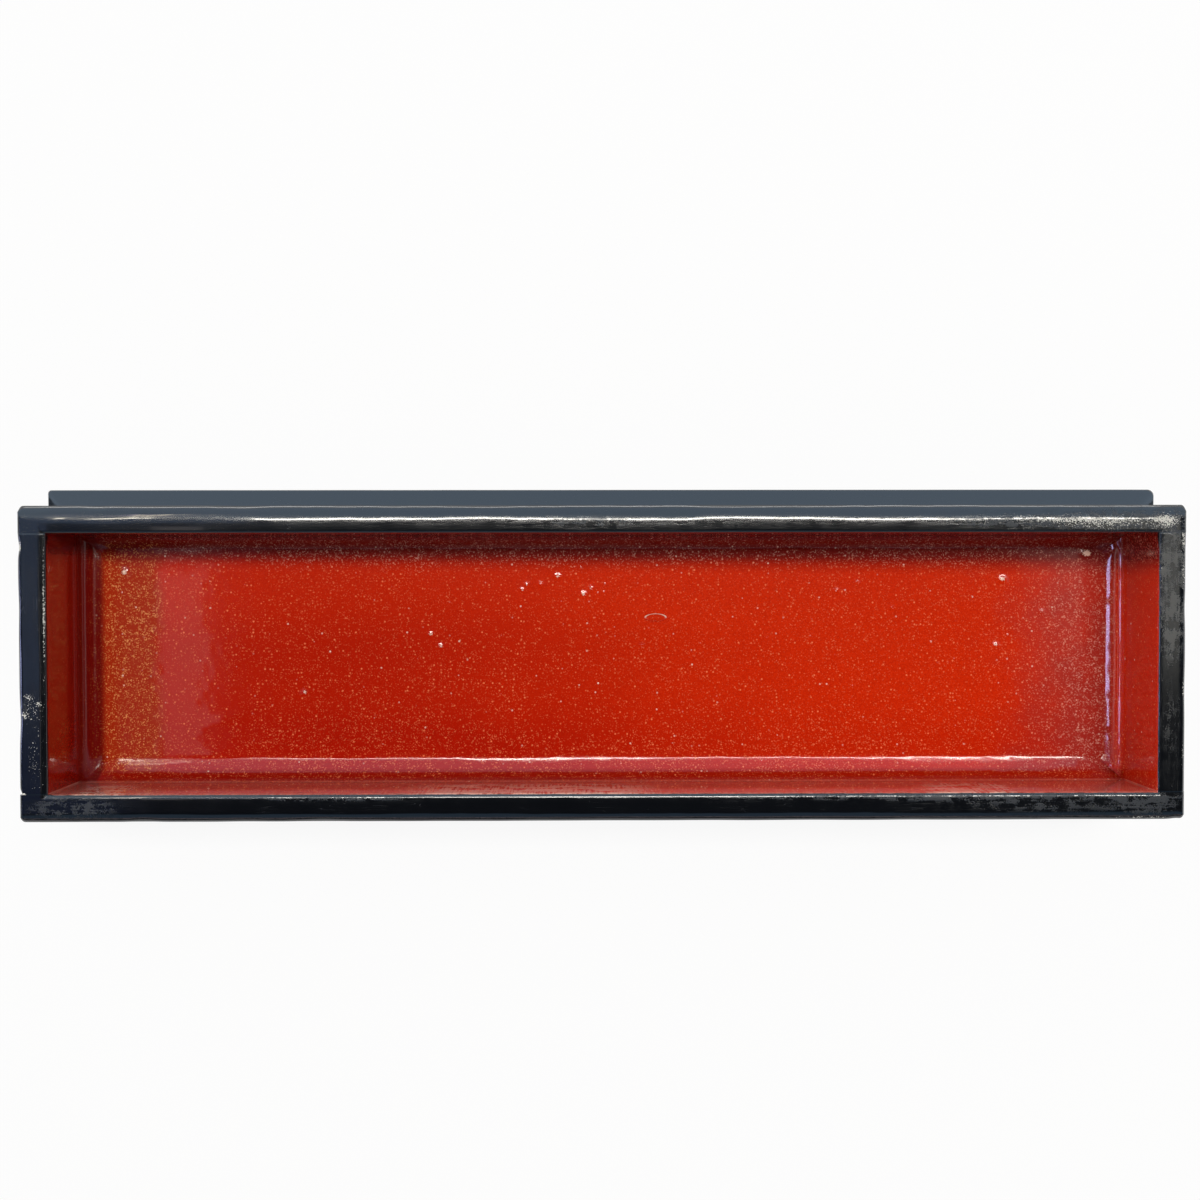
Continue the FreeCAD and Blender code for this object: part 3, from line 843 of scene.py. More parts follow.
@dataclass(kw_only=True)
class Tray(Half):
    """The open tray: four walls, the floor board and the coves."""

    foot: float  # the heights of the foot, the floor and the rim
    floor: float
    rim: float
    board_length: float  # the floor board's
    board_width: float
    cove_leg: float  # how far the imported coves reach
    edge_round: float = 1.0 * MM

    @classmethod
    def measured(cls) -> "Tray":
        """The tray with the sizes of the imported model.

        Returns:
            The tray.
        """
        front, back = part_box("tray_front_wall"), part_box("tray_back_wall")
        end, board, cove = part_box("tray_right_wall"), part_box("tray_floor_board"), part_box("tray_front_cove")
        return cls(
            length=front[1].x - front[0].x,
            width=back[1].y - front[0].y,
            wall=end[1].x - end[0].x,
            foot=front[0].z,
            floor=board[1].z,
            rim=front[1].z,
            board_length=board[1].x - board[0].x,
            board_width=board[1].y - board[0].y,
            cove_leg=cove[1].y - cove[0].y,
        )

    def rim_fall(self, side: Side, u: Array, at: Array) -> Array:
        """How far a wall's rim lies under the top.

        On a long wall the rim over a corner is the lower of both walls' outer parts plus the higher of their inner
        parts, which makes the two mitres.

        Args:
            side: The wall's side.
            u: Places along the wall.
            at: Places across it (stations, points).

        Returns:
            The heights against the top (stations, points).
        """
        own = WALLS[side].rim
        if not side.is_long:
            return own.heights(at)
        ends = (Side.LEFT, Side.RIGHT) if side is Side.FRONT else (Side.RIGHT, Side.LEFT)
        low, high = (WALLS[end].rim for end in ends)
        from_end = self.length / 2 - np.abs(u)
        outer_end = np.where(u > 0, high.outer_part(from_end), low.outer_part(from_end))
        within = np.minimum(from_end, self.wall)
        inner_end = np.where(u > 0, high.inner_part(within), low.inner_part(within))
        return np.minimum(own.outer_part(at), outer_end[:, None]) + np.maximum(own.inner_part(at), inner_end[:, None])

    def wall_skin(self, side: Side) -> Skin:
        """The skin of one wall.

        The section goes from the rebate under the foot, round the foot, up the outer face, over the rim, down the
        inner face and round the rebate. Tremors pull the faces inwards and the rim down.

        Args:
            side: The wall's side.

        Returns:
            The skin.
        """
        wall, t, run = WALLS[side], self.wall, self.run(side)
        top, rebate = self.rim - self.foot, self.floor - self.foot
        edge_v = t - (self.board_width - self.inner_width) / 2
        u = stations(run, (0.5 if side.is_long else 0.4) * MM)
        if side.is_long:
            # More stations over the end walls' rims, and just past the joints.
            near = np.concatenate([np.linspace(1.6, 5.2, 16), np.linspace(5.3, 6.5, 17)]) * MM
            u = np.unique(np.concatenate([u, near - run / 2, run / 2 - near]))
        from_joint = np.abs(run / 2 - np.abs(u) - (t if side.is_long else 0.0)) / MM
        free = ease(from_joint, 0.0, 5.0)

        # The rim, with its places across the wall close together over the roundings.
        steps = (np.linspace(0, 0.6, 10)[:-1], np.linspace(0.6, 5.4, 27)[:-1], np.linspace(5.4, 6.1, 12))
        across = np.concatenate(steps) * t / 6.1
        sway = (Tremor(wall.seed, 14)(u) * 0.2 + Tremor(wall.seed + 1, 2.6)(u) * 0.08) * MM * free
        drop = Tremor(wall.seed + 2, 17).raised(u) * 0.08 * MM * free
        if not side.is_long:
            # The joint shows as a fine crack.
            drop = drop + (1 - ease(from_joint, 0.0, 0.14)) * 0.05 * MM
        rim = self.rim_fall(side, u, across - sway[:, None] * np.sin(np.pi * across / t)) - drop[:, None]

        # Past the floor board's end a long wall has no rebate: the same ring points lie on its plain corner.
        here = (np.abs(u) < self.board_length / 2 + 0.05 * MM)[:, None]
        under = np.where(here, (edge_v, (edge_v + self.edge_round) / 2), (t * 0.8, t * 0.5))
        rise = np.linspace(self.edge_round, top + float(rim[:, 0].mean()), 24)[1:-1]
        down, inner_top = np.linspace(1.0, 0.0, 20)[1:], (top + rim[:, -1])[:, None]
        inner = np.where(here, rebate + (inner_top - rebate) * down, inner_top * (0.04 + 0.96 * down))
        shelf = np.where(here, np.linspace(t, edge_v, 5)[1:], np.linspace(t, t * 0.95, 5)[1:])
        v, z = section(
            len(u),
            (under, 0.0),
            self.foot_arc(),
            (0.0, rise),
            (across, top + rim),
            (t, inner),
            (shelf, np.where(here, rebate, 0.0)),
        )

        # The outer face is pulled in by tremors, knocks and the rounding of the upright corner.
        along = u[:, None]
        start = self.place(side, along, v, z)
        dent = over_all(wall.dents, start[..., 0], start[..., 1]) * MM * ease(z / MM, 3.0, 21.0)
        tremble = Tremor(wall.seed + 3, 11).raised(along) * 0.07 * MM
        uneven = Tremor(wall.seed + 5, 6).raised(along, z) * 0.04 * MM
        v = v + (1 - ease(v / MM, 0.0, 2.6)) * (self.corner(side, along) + tremble + dent + uneven)
        points = self.place(side, along, v, z + self.foot)
        on_top = ease(z / MM, top / MM - 2.5, top / MM - 0.6)
        rub, chip = (over_all(marks, points[..., 0], points[..., 1]) * on_top for marks in (wall.rubs, wall.chips))
        return tube(f"tray_{side.word}_wall_lacquered", points, 35.0, rub=rub, chip=chip)

    def floor_skin(self) -> Skin:
        """The skin of the floor board: a fine grid over the inside, and a plain box under it.

        The grid's height is the floor's, plus slow tremors, plus the nibs and drips, each a bell of its own height.

        Returns:
            The skin.
        """
        half_l, half_w = self.inner_length / 2, self.inner_width / 2
        edge_l, edge_w = self.board_length / 2, self.board_width / 2
        x = np.concatenate([[-edge_l], np.linspace(-half_l, half_l, 600), [edge_l]])
        y = np.concatenate([[-edge_w], np.linspace(-half_w, half_w, 141), [edge_w]])
        xx, yy = np.meshgrid(x, y, indexing="ij")
        inner = ease(half_l - np.abs(xx), 0, 4 * MM) * ease(half_w - np.abs(yy), 0, 4 * MM)
        relief = Tremor(71, 24)(xx, yy) * 0.04 + Tremor(72, 8)(xx, yy) * 0.016 + Tremor(73, 1.7)(xx, yy) * 0.004
        nib = over_all(NIBS, xx, yy)
        zz = self.floor + (relief + over_all(DRIPS, xx, yy) + nib) * inner * MM
        upper = np.stack([xx, yy, zz], -1).reshape(-1, 3)
        index = np.arange(xx.size).reshape(xx.shape)
        border = np.concatenate([index[:-1, 0], index[-1, :-1], index[:0:-1, -1], index[0, :0:-1]])
        lower = upper[border]
        lower[:, 2] = self.foot
        under = xx.size + np.arange(len(border))
        sides = np.stack([border, np.roll(border, -1), np.roll(under, -1), under], -1)
        faces = grid_quads(index).tolist() + sides.tolist() + [under.tolist()]
        layers = {"nib": np.concatenate([nib.ravel(), np.zeros(len(border))])}
        return Skin("tray_floor_lacquered", np.concatenate([upper, lower]), faces, layers=layers)

    def inside(self, shader: Shader) -> Value:
        """The red inside of the walls, as a mask.

        A point is inside by the larger of its distances past the inner length and the inner width. The black comes
        down over the rim's inner edge, furthest at the back, and the line between the lacquers wavers.

        Args:
            shader: The tree.

        Returns:
            The mask.
        """
        x, y, z = shader.axes()
        half_l, half_w = self.inner_length / 2 / MM, self.inner_width / 2 / MM
        past = (x.size() - half_l).most(y.size() - half_w)
        waver = shader.noise(shader.millimetres(), 2.4, 3.0) - 0.5
        drawn = shader.step(past + waver * 0.16, 0.16, 0.1)
        over = shader.step(y, half_w - 4.0, half_w) * 0.9 + shader.step(x, 1.5 - half_l, -half_l) * 0.5
        line = (over + waver * 0.7 + 0.3) * -1.0 + self.rim / MM
        return drawn * shader.step(z - line, 0.1, -0.1) * shader.step(z, self.floor / MM - 0.1, self.floor / MM)

    def dress(self, finishes: Finishes) -> None:
        """Builds the tray's pieces.

        Args:
            finishes: The materials.
        """
        for side in WALLS:
            finish = finishes.tray_long_wall if side.is_long else finishes.tray_end_wall
            self.wall_skin(side).make(TRAY, "black_lacquer", finish, f"tray_{side.word}_wall")
        self.floor_skin().make(TRAY, "red_lacquer", finishes.floor_board, "tray_floor_board")
        for side, cove in COVES.items():
            cove.skin(side, self).make(TRAY, "red_lacquer", finishes.red, f"tray_{side.word}_cove")


@dataclass(frozen=True)
class CoveShape:
    """How one cove's hollow turns from the floor to the wall. Lengths are in millimetres."""

    leg: float  # how far it reaches over the floor
    climb: float  # how far it reaches up the wall
    bank: float  # the slope in degrees of the shallow bank where it leaves the floor
    bank_share: float  # the share of the section that the bank takes
    broad: tuple[Colour, ...]  # where along the wall the bank is broader: middle, reach and amount
    seed: int  # of its unevenness
    ledge: float = 0.0  # where on the section the slope comes back to the bank's in a narrow ledge, 0 for none

    def skin(self, side: Side, tray: Tray) -> Skin:
        """The cove's skin.

        The section is given by its slope along itself: level at the foot, then the bank, then a steady turn to
        the wall. Its tangents are summed and scaled to the leg and the climb. Near the ends every cove comes back
        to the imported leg, where it is mitred.

        Args:
            side: The cove's side.
            tray: The tray.

        Returns:
            The skin.
        """
        run = (tray.inner_length if side.is_long else tray.inner_width) / 2
        along = np.linspace(-1.0, 1.0, 480 if side.is_long else 120)[:, None]
        u = along * run
        plain = ease((run - np.abs(u)) / MM, 0.4, 3.0)
        packed = tray.cove_leg / MM
        sway = Tremor(self.seed, 9)(u) * 0.16 + Tremor(self.seed + 1, 2.2)(u) * 0.05
        leg = packed + (self.leg + sway - packed) * plain
        climb = packed + (self.climb - packed) * plain
        share = self.bank_share + sum(a * np.exp(-(((u / MM) - m) / r) ** 2) for m, r, a in self.broad)
        share = np.clip(share * (1 + 0.5 * Tremor(self.seed + 2, 3)(u)), 0.015, 0.3)

        # The slope in degrees along the section, in which the foot leaves the floor over the first part.
        foot, spread, steepest = 0.03, 1.2, 88.0
        way = np.linspace(0.0, 1.0, 34) ** 1.3
        slope = np.clip(way / foot, 0, 1) * (self.bank - spread)
        slope = slope + np.clip((way - foot) / share, 0, 1) * 2 * spread
        slope = slope + np.clip((way - foot - share) / (1 - foot - share), 0, 1) * (steepest - self.bank - spread)
        if self.ledge:
            back_to_bank = np.clip(1.6 * np.exp(-(((way - self.ledge) / 0.06) ** 2)), 0, 1)
            slope = slope * (1 - back_to_bank) + self.bank * back_to_bank
        slope = np.radians(slope[:, 1:] + slope[:, :-1]) / 2
        over, up = (np.cumsum(part(slope) * np.diff(way), axis=1) for part in (np.cos, np.sin))
        over, up = (np.pad(total / total[:, -1:], ((0, 0), (1, 0))) for total in (over, up))

        # The putty starts just above the floor, and two points under it close the section.
        proud, buried = 0.015 * MM, -0.05 * MM
        from_wall = np.concatenate([(1 - over) * leg * MM, leg * 0, leg * MM], axis=1)
        height = np.concatenate([up * climb * MM + proud, np.full((len(u), 2), buried)], axis=1)
        rings = tray.place(side, along * (run - from_wall), tray.wall + from_wall, tray.floor + height)
        return tube(f"tray_{side.word}_cove_lacquered", rings, 50.0)


# ---- The lid ----


@dataclass(kw_only=True)
class Lid(Half):
    """The deep lid, which stands on its rim: four walls and the bevelled top board."""

    depth: float  # the height of its walls
    top: float  # the height of its top
    bevel_width: float = 5.0 * MM
    bevel_drop: float = 2.2 * MM
    edge_round: float = 0.8 * MM

    @classmethod
    def measured(cls) -> "Lid":
        """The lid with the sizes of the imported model.

        Returns:
            The lid.
        """
        board, wall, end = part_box("lid_top_board"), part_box("lid_front_wall"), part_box("lid_right_wall")
        return cls(
            length=board[1].x - board[0].x,
            width=board[1].y - board[0].y,
            wall=end[1].x - end[0].x,
            depth=wall[1].z,
            top=board[1].z,
        )

    def wall_skin(self, side: Side, seed: int) -> Skin:
        """The skin of one wall: its closed section carried along it, rounded at the upright corners and the rim.

        Args:
            side: The wall's side.
            seed: The seed of its unevenness.

        Returns:
            The skin.
        """
        u = stations(self.run(side), 0.9 * MM)[:, None]
        v, z = section(
            len(u),
            (self.wall * 0.6, 0.0),
            self.foot_arc(),
            (0.0, np.linspace(self.edge_round, self.depth, 25)[1:]),
            (np.linspace(0, self.wall, 6)[1:], self.depth),
            (self.wall, np.linspace(self.depth, 0.15 * MM, 19)[1:]),
            (self.wall - 0.12 * MM, 0.0),
        )
        wave = Tremor(seed, 16).raised(u, z) * 0.08 * MM
        v = v + (1 - ease(v / MM, 0.0, 2.4)) * (self.corner(side, u) + wave)
        return tube(f"lid_{side.word}_wall_lacquered", self.place(side, u, v, z), 35.0)

    def board_skin(self) -> Skin:
        """The skin of the top board: rings of one outline, each set in and raised, from the underside to the top.

        A ring is a rectangle with quarter circles for corners. The corner circles shrink with the rings, down to
        the crisp corners of the mitred bevel, and the back right corner is worn rounder.

        Returns:
            The skin.
        """
        sizes = (self.bevel_width, self.bevel_drop, self.edge_round, self.depth, self.top)
        width, drop, e, depth, top = (size / MM for size in sizes)
        eaves, worn = top - drop, 1.9
        table = np.array(
            [
                # set in, height, corner radius, all in millimetres
                (12.0, depth, 0.3),
                (0.06, depth, e),
                (0.0, depth + 0.12, e),
                (0.0, eaves - 1.2, e),
                (0.0, eaves - 0.36, e),
                (0.05, eaves - 0.14, e),
                (0.17, eaves + 0.02, e),
                (0.38, eaves + 0.15, e * 0.9),
                *[(width * k, eaves + drop * k, e * (1 - 0.6 * k)) for k in np.linspace(0.07, 0.95, 12)],
                (width * 0.98, top - 0.022, 0.35),
                (width * 1.03, top, 0.35),
                (width + 1.2, top, 0.35),
                (width + 8.0, top, 0.3),
            ]
        )
        inset, height, radius = table.T[:, :, None]
        arcs = []
        for k, (sx, sy) in enumerate(((1, 1), (-1, 1), (-1, -1), (1, -1))):
            r = radius * (worn if k == 0 else 1.0)
            turn = np.radians(np.linspace(0, 90, 7)) + k * math.pi / 2
            x = sx * (self.length / 2 - (inset + r) * MM) + r * MM * np.cos(turn)
            y = sy * (self.width / 2 - (inset + r) * MM) + r * MM * np.sin(turn)
            arcs.append(np.stack([x, y, np.broadcast_to(height * MM, x.shape)], -1))
        parts = []
        for k, arc in enumerate(arcs):
            way = np.linspace(0, 1, 300 if k % 2 == 0 else 90)[1:-1, None]
            parts += [arc, arc[:, -1:] * (1 - way) + arcs[(k + 1) % 4][:, :1] * way]
        points = np.concatenate(parts, axis=1)
        x, y = points[..., 0], points[..., 1]
        on_bevel = np.where(height > eaves, ease(inset, 0.1, 1.5) * (1 - ease(inset, 4.4, 5.0)), 0.0)
        points[..., 2] -= on_bevel * Tremor(91, 19).raised(x, y) * 0.06 * MM
        shrink = 1 - Tremor(92, 12).raised(x, y) * 0.0006 * (inset < 0.3)
        points[..., :2] *= shrink[..., None]
        return tube("lid_top_lacquered", points, 12.0)

    def dress(self, finishes: Finishes) -> None:
        """Builds the lid's pieces.

        Args:
            finishes: The materials.
        """
        for number, side in enumerate(Side):
            self.wall_skin(side, 120 + number).make(LID, "black_lacquer", finishes.lid, f"lid_{side.word}_wall")
        self.board_skin().make(LID, "black_lacquer", finishes.lid, "lid_top_board")


# ---- The studio ----


def sheet(name: str, reach: float, height: float, upwards: bool, material: Material) -> bpy.types.Object:
    """A level square round the middle of the box.

    Args:
        name: Its name.
        reach: Half its width, in metres.
        height: Its height, in metres.
        upwards: Whether it faces up.
        material: Its material.

    Returns:
        The square.
    """
    corners = [(-reach, -reach), (reach, -reach), (reach, reach), (-reach, reach)]
    mesh = bpy.data.meshes.new(name)
    mesh.from_pydata([(*(c if upwards else c[::-1]), height) for c in corners], [], [(0, 1, 2, 3)])
    mesh.materials.append(material)
    return add_object(name, mesh)


@dataclass(frozen=True)
class Lamp:
    """A soft rectangular lamp."""

    name: str
    place: Colour  # its middle, in metres
    tilt: Colour  # how it is turned about X, Y and Z, in degrees, from facing straight down
    size: Pair  # in metres
    radiance: float  # how bright its face is
    colour: Colour
    mirrored: bool  # whether glossy surfaces show it
    matte: bool = True  # whether it lights what isn't glossy

    def hang(self) -> None:
        """Puts the lamp up. Its power is radiance times pi times its area."""
        light = bpy.data.lights.new(self.name, "AREA")
        light.shape = "RECTANGLE"
        light.size, light.size_y = self.size
        light.energy = self.radiance * math.pi * self.size[0] * self.size[1]
        light.color = self.colour
        lamp = add_object(self.name, light)
        lamp.location = self.place
        lamp.rotation_euler = tuple(math.radians(angle) for angle in self.tilt)
        lamp.visible_camera = False
        lamp.visible_glossy = self.mirrored
        lamp.visible_diffuse = self.matte


@dataclass(frozen=True)
class Pane:
    """A bright rectangle in the ceiling over the box, with soft borders."""

    x: Pair  # its lowest and highest x, in metres
    y: Pair
    soft: Pair  # how wide its borders across x and across y fade
    colour: Colour  # how bright it is


@dataclass(frozen=True)
class Ceiling:
    """A level ceiling high over the box, which only glossy surfaces show."""

    height: float
    reach: float  # half its width, in metres
    panes: tuple[Pane, ...]  # the later ones lie over the earlier ones

    def hang(self) -> None:
        """Puts the ceiling up, as part of the stage."""
        material = bpy.data.materials.new("ceiling_panes")
        shader = Shader(material)
        x, y, _ = (axis * MM for axis in shader.axes())
        colour = (0.0, 0.0, 0.0)
        for pane in self.panes:
            share = shader.between(x, pane.x, pane.soft[0]) * shader.between(y, pane.y, pane.soft[1])
            colour = shader.blend(share, colour, pane.colour)
        glow = shader.add("ShaderNodeEmission", {"Color": colour, "Strength": 1.0})
        shader.add("ShaderNodeOutputMaterial", {"Surface": glow.outputs[0]})
        ceiling = sheet("ceiling", self.reach, self.height, False, material)
        ceiling.visible_camera = False
        ceiling.visible_diffuse = False
        ceiling.visible_shadow = False
        ceiling.visible_transmission = False


@dataclass(frozen=True)
class Studio:
    """A pale floor, a pale world, soft lamps, a ceiling for the gloss, and the camera."""

    camera_place: Colour = (-0.00294, 0.01852, 0.30566)
    camera_target: Colour = (-0.000927, 0.013766, 0.0505)
    camera_roll: float = 0.0012  # how far the picture is turned, as a slope
    lens: float = 35.4  # the focal length, for a sensor 36 mm wide
    world_level: float = 0.30  # how bright the world is for diffuse light
    floor_white: float = 0.88  # how much of the floor is white by itself where it is seen
    floor_reach: float = 6.0
    floor_height: float = -0.0001

    def set_camera(self) -> None:
        """Makes the camera, which looks almost straight down with the back of the box at the top."""
        data = bpy.data.cameras.new("camera")
        data.lens, data.sensor_width = self.lens, 36.0
        data.clip_start, data.clip_end = 0.01, 50.0
        camera = add_object("camera", data)
        back = (Vector(self.camera_place) - Vector(self.camera_target)).normalized()
        right = Vector((self.camera_roll, 1, 0)).cross(back).normalized()
        turned = Matrix((right, back.cross(right), back)).transposed().to_4x4()
        camera.matrix_world = Matrix.Translation(self.camera_place) @ turned
        bpy.context.scene.camera = camera

    def lay_floor(self) -> None:
        """Lays the pale floor, which is nearly white where it is seen and still takes the box's shadow."""
        material = bpy.data.materials.new("floor_paper")
        shader = Shader(material)
        paper = shader.add("ShaderNodeBsdfDiffuse", {"Color": (0.93, 0.93, 0.93, 1.0)})
        white = shader.add("ShaderNodeEmission", {"Color": (1.0, 1.0, 1.0, 1.0), "Strength": 1.0})
        shares = {0: shader.seen() * self.floor_white, 1: paper.outputs[0], 2: white.outputs[0]}
        both = shader.add("ShaderNodeMixShader", shares)
        shader.add("ShaderNodeOutputMaterial", {"Surface": both.outputs[0]})
        floor = sheet("floor", self.floor_reach, self.floor_height, True, material)

    def light(self, lamps: tuple[Lamp, ...], ceiling: Ceiling) -> None:
        """Sets the world and puts up the lamps and the ceiling.

        Args:
            lamps: The lamps.
            ceiling: The ceiling.
        """
        world = bpy.data.worlds.new("studio")
        bpy.context.scene.world = world
        shader = Shader(world)
        strength = shader.seen() * (1.0 - self.world_level) + self.world_level
        sky = shader.add("ShaderNodeBackground", {"Color": (0.97, 0.985, 1.0, 1.0), "Strength": strength})
        shader.add("ShaderNodeOutputWorld", {"Surface": sky.outputs[0]})
        world.cycles.sampling_method = "NONE"
        for fitting in (*lamps, ceiling):
            fitting.hang()


# ---- This box ----

WALLS = {
    Side.FRONT: TrayWall(
        RimShape(
            (0, 0.35, 1.2, 1.9, 2.4, 5.0, 5.2, 5.5, 5.8, 6.1), (48, 34, 18, 4, 0.6, 0, -8.8, -13.2, -30, -75), 5.0
        ),
        rubs=spots(
            (-115, -31.3, 11, 2.4, 0.6), (96, -31, 26, 2.4, 0.38), (75, -29.2, 48, 0.8, 0.6),
            (-58, -29.2, 20, 0.8, 0.5), (118, -31, 7, 2.6, 0.45),
        ),
        chips=spots((20, -29, 40, 0.25, 0.3), (118, -33.8, 8, 0.4, 0.42)),
        dents=spots((-100, -34.3, 3, 2, 0.15), (-62, -34.3, 5, 2, 0.12), (125.1, -34.2, 1.5, 1.5, 0.2)),
        seed=11,
    ),
    Side.RIGHT: TrayWall(
        RimShape((0, 0.3, 0.8, 1.4, 2.2, 4.9, 5.4, 5.8, 6.1), (55, 36, 14, 3, 0.5, 0, -8, -33, -75), 4.9),
        rubs=spots((123.4, 22, 3.4, 9, 0.66), (123.4, 8, 3.4, 8, 0.55), (123.4, -14, 3.4, 12, 0.3)),
        # Pale spots along the outer edge: chipping, and painted highlights.
        chips=spots(
            (125.8, 27, 0.6, 5, 0.5), (125.8, 18, 0.5, 4, 0.4), (126, -6, 0.4, 3, 0.42), (126, -20, 0.4, 5, 0.38),
            (121, 18, 0.3, 12, 0.3),
        ),
        dents=spots((126.6, 12, 2, 3, 0.12), (126.6, -6, 2, 5, 0.1)),
        seed=31,
    ),
    Side.BACK: TrayWall(
        RimShape(
            (0, 0.5, 1.3, 2.45, 2.7, 3.1, 3.6, 4.4, 5.4, 5.8, 6.1),
            (47, 37, 22, 6.5, 4.6, 3.2, 0, -0.8, -1.5, -28, -75),
            3.6,
        ),
        rubs=spots(
            (10, 30.6, 85, 1.5, 0.17), (-3, 30.5, 10, 1.5, 0.25), (88, 30.9, 14, 2, 0.4), (112, 30.6, 13, 3, 0.6),
            (124, 30, 4, 3.4, 0.5), (-104, 31.6, 9, 1.6, 0.15),
        ),
        # The first three are chipping and painted highlights: pale glitter towards the rim's right end.
        chips=spots(
            (100, 31.2, 24, 0.8, 0.46), (108, 29.9, 14, 1.2, 0.37), (122, 31, 3, 2.2, 0.42),
            (-52, 31.6, 14, 0.25, 0.3),
        ),
        dents=spots((-110, 34.3, 3, 2, 0.1), (-78, 34.3, 5, 2, 0.12)),
        seed=51,
    ),
    Side.LEFT: TrayWall(
        RimShape((0, 0.3, 0.6, 1.0, 2.8, 4.6, 4.9, 5.5, 5.8, 6.1), (60, 40, 12, 1, 0.3, 0, -5, -9, -33, -75), 4.6),
        rubs=spots((-123.8, -9, 3, 4, 0.3), (-123.8, -20, 3, 8, 0.1), (-123.8, 14, 2.5, 14, 0.16)),
        chips=spots(
            (-125.9, 25.3, 0.5, 1.5, 0.7), (-124.4, -7, 1.4, 0.7, 0.34), (-125.2, -11.1, 0.7, 0.7, 0.5),
            (-122.2, -8.6, 0.8, 0.6, 0.3), (-123.6, -9.5, 2.8, 3, 0.24), (-123, -20, 2.6, 9, 0.27),
            (-120.9, 11, 0.32, 17, 0.5), (-125.8, -28.2, 0.7, 0.5, 0.9), (-126.3, -31.5, 0.3, 2, 0.35),
        ),
        dents=spots(
            (-126.6, 25.3, 1.5, 1.6, 0.3), (-126.6, 12, 1.5, 4, 0.12), (-126.6, -12, 1.5, 4, 0.22),
            (-126.6, -28.2, 1.2, 0.8, 0.4),
        ),
        seed=76,
    ),
}

COVES = {
    Side.FRONT: CoveShape(5.15, 4.8, 10.5, 0.012, ((-13, 20, 0.11), (88, 20, 0.16), (-111, 7, 0.17)), 201),
    Side.RIGHT: CoveShape(3.1, 4.6, 36.0, 0.17, (), 211, 0.62),
    Side.BACK: CoveShape(2.9, 4.8, 33.9, 0.05, (), 221),
    Side.LEFT: CoveShape(4.4, 4.0, 10.0, 0.03, (), 231),
}

# Ridges and drips of the lacquer itself, and nibs of dust in it, with their heights in millimetres.
DRIPS = spots((-88.5, -14.3, 3.4, 1.6, 0.045), (-85, -13, 2.2, 0.8, 0.035), (-91, -22.5, 6, 1.5, 0.04))
NIBS = spots(
    (93.3, 18.2, 0.75, 0.5, 0.22), (91.7, 2.8, 0.6, 0.5, 0.16), (113, 24.2, 1, 0.7, 0.25),
    (111.5, -4.8, 0.8, 0.6, 0.08), (-10.6, 19, 0.65, 0.45, 0.16), (-4.6, 14.8, 0.6, 0.5, 0.17),
    (-2.8, 16.1, 0.45, 0.45, 0.12), (-18.8, 15.8, 0.5, 0.4, 0.14), (-17.9, 17, 0.45, 0.4, 0.12),
    (-14.6, 17.1, 0.45, 0.4, 0.12), (-40.2, 5.5, 0.55, 0.45, 0.16), (-37.9, 2.7, 0.65, 0.45, 0.16),
    (-111.3, 20, 0.65, 0.6, 0.22), (-69.6, -8, 0.6, 0.5, 0.16), (9, 2.7, 0.6, 0.5, 0.1),
    (102.5, 10.5, 0.5, 0.45, 0.12), (54.5, 15.5, 0.45, 0.4, 0.12), (59.4, 17.4, 0.45, 0.4, 0.1),
    (67.5, 11.5, 0.45, 0.4, 0.1),
)

LAMPS = (
    Lamp("strip", (0.34, 0.52, 2.8), (0.0, 0.0, 0.0), (2.42, 0.117), 39.0, (1.0, 0.96, 0.88), True, False),
    Lamp("key", (0.45, 0.64, 2.7), (0.0, 0.0, 0.0), (1.6, 0.5), 20.5, (1.0, 0.98, 0.95), False),
    Lamp("side", (-2.5, 0.1, 0.5), (0.0, -90.0, 0.0), (0.6, 1.2), 6.0, (1.0, 0.99, 1.0), False),
    Lamp("low_window", (-2.5, -0.05, 0.42), (0.0, -90.0, 0.0), (0.25, 0.9), 6.0, (0.82, 0.84, 1.0), True),
    Lamp("low_back", (0.0, 3.2, 0.35), (-90.0, 0.0, 0.0), (3.4, 0.2), 6.0, (1.0, 1.0, 1.0), True),
)

CEILING = Ceiling(
    3.2,
    13.0,
    (
        Pane((-14.0, 14.0), (0.66, 14.0), (0.1, 0.05), (0.78, 1.02, 1.3)),
        Pane((1.4, 2.1), (-0.26, 0.66), (0.3, 0.25), (0.9, 0.88, 0.8)),
        Pane((-3.4, -1.0), (0.14, 0.66), (0.1, 0.03), (0.35, 0.49, 0.76)),
        Pane((-3.4, -1.38), (-0.95, -0.35), (0.1, 0.3), (0.06, 0.09, 0.22)),
        Pane((-2.05, -1.52), (-0.40, 0.15), (0.05, 0.3), (0.26, 0.35, 0.58)),
        Pane((-1.275, -1.128), (-0.52, 0.06), (0.015, 0.02), (0.85, 0.78, 0.78)),
        Pane((-4.9, -3.95), (-0.692, 0.074), (0.05, 0.05), (9.0, 10.0, 18.0)),
        Pane((-1.445, -1.305), (0.55, 0.68), (0.02, 0.03), (26.0, 24.0, 20.0)),
        Pane((-1.4, -1.315), (0.68, 1.6), (0.02, 0.12), (9.0, 8.0, 6.5)),
        Pane((-1.47, -1.4), (1.0, 1.6), (0.02, 0.05), (3.0, 2.6, 3.6)),
        Pane((-14.0, 14.0), (-5.2, -1.6), (0.1, 0.4), (0.15, 0.25, 0.375)),
        Pane((-4.0, 4.0), (-6.4, -5.9), (0.5, 0.1), (2.6, 2.1, 2.2)),
    ),
)


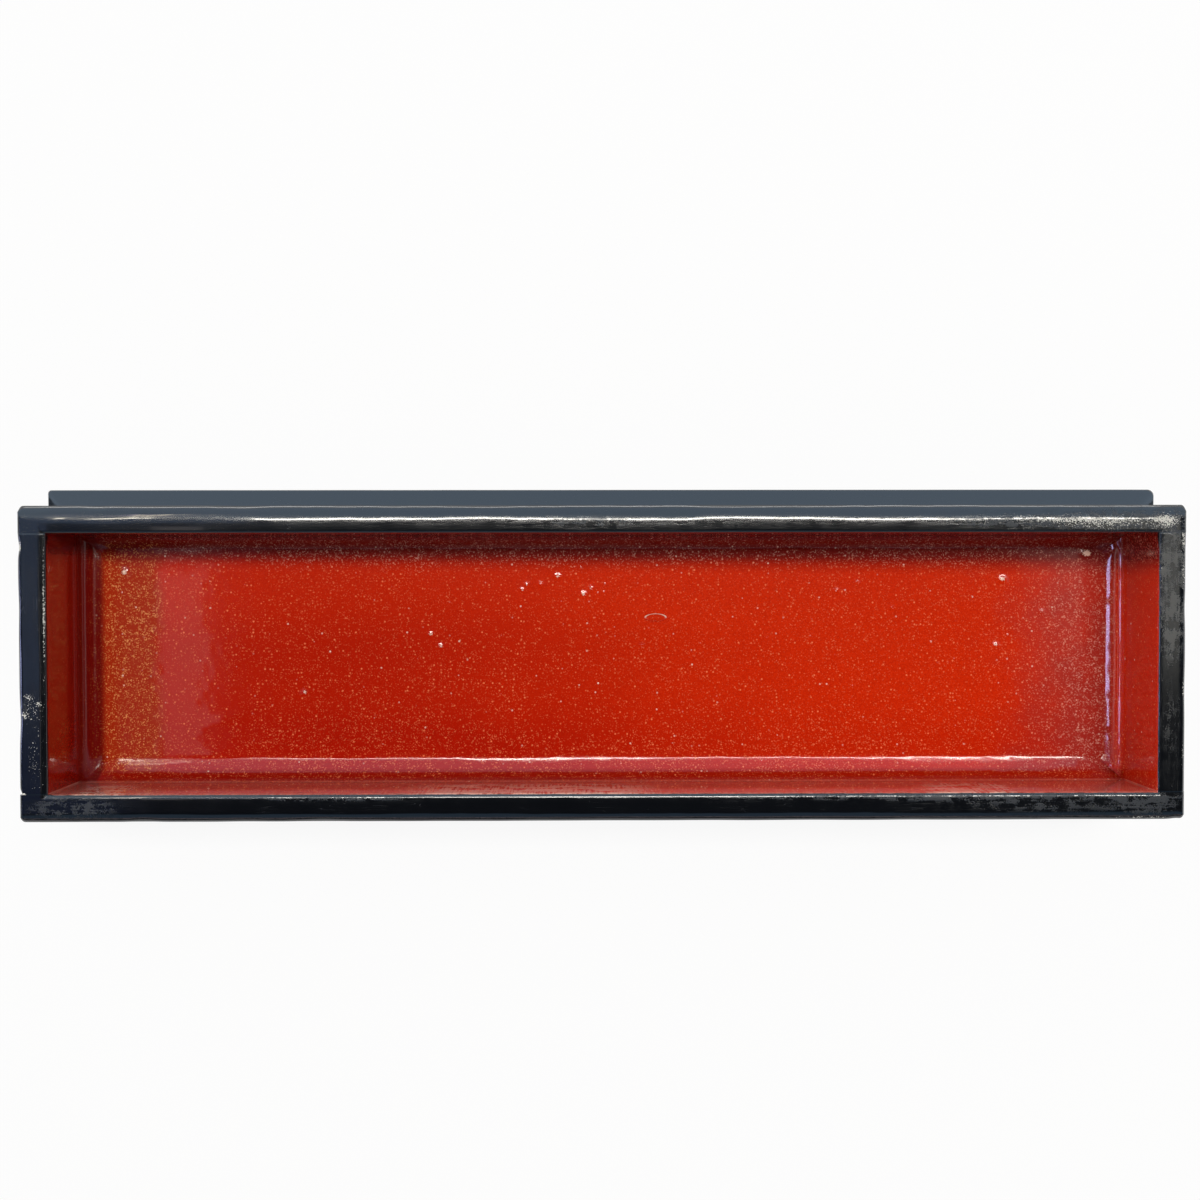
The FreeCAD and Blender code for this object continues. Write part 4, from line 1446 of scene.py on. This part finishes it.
def make_finishes(tray: Tray) -> Finishes:
    """Makes all the materials, with the line between the lacquers at the tray's inside.

    Args:
        tray: The tray.

    Returns:
        The materials.
    """
    red, plain = RedLacquer(), BlackLacquer(Brushing.ALONG_X, False)

    def wall(name: str, black: BlackLacquer) -> Material:
        """A material for the tray's walls: red inside, black outside."""
        return lacquer(
            name, lambda shader: two_tone(shader, tray.inside(shader), red.on(shader), black.on(shader)), 0.8, 0.5
        )

    def board(shader: Shader) -> Surface:
        """The floor board's surface: red above, black below."""
        inside = shader.step(shader.axes()[2], tray.floor / MM - 1.0, tray.floor / MM - 0.8)
        return two_tone(shader, inside, red.on(shader, True), plain.on(shader))

    return Finishes(
        red=lacquer("red_lacquer", red.on, 0.35, 0.3),
        tray_long_wall=wall("tray_long_wall_lacquer", BlackLacquer(Brushing.ALONG_X, True)),
        tray_end_wall=wall("tray_end_wall_lacquer", BlackLacquer(Brushing.ALONG_Y, True, dull=(0.085, 0.08, 0.07))),
        floor_board=lacquer("tray_floor_lacquer", board, 0.5, 0.3),
        lid=lacquer("lid_lacquer", plain.on, 1.0, 0.5),
        upright_pegs=Bamboo().paint("bamboo_upright"),
        level_pegs=Bamboo(along=(1.0, 0.06, 1.0)).paint("bamboo_level"),
    )


def dress_pegs(finishes: Finishes) -> None:
    """Gives the pegs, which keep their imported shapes, their bamboo.

    Args:
        finishes: The materials.
    """
    for node in ("tray_floor_pegs", "lid_dowels", "tray_corner_pegs", "lid_corner_pegs"):
        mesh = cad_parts[node].data
        mesh.materials.clear()
        mesh.materials.append(finishes.level_pegs if "corner" in node else finishes.upright_pegs)
        LOG.info("%s: bamboo", node)


def main() -> None:
    """Builds the studio, the tray and the lid."""
    logging.basicConfig(level=logging.INFO, format="%(name)s: %(message)s")
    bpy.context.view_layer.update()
    bpy.context.scene.view_settings.view_transform = "Standard"
    studio = Studio()
    studio.set_camera()
    studio.lay_floor()
    studio.light(LAMPS, CEILING)
    tray, lid = Tray.measured(), Lid.measured()
    finishes = make_finishes(tray)
    tray.dress(finishes)
    lid.dress(finishes)
    dress_pegs(finishes)


if __name__ == "__main__":
    main()
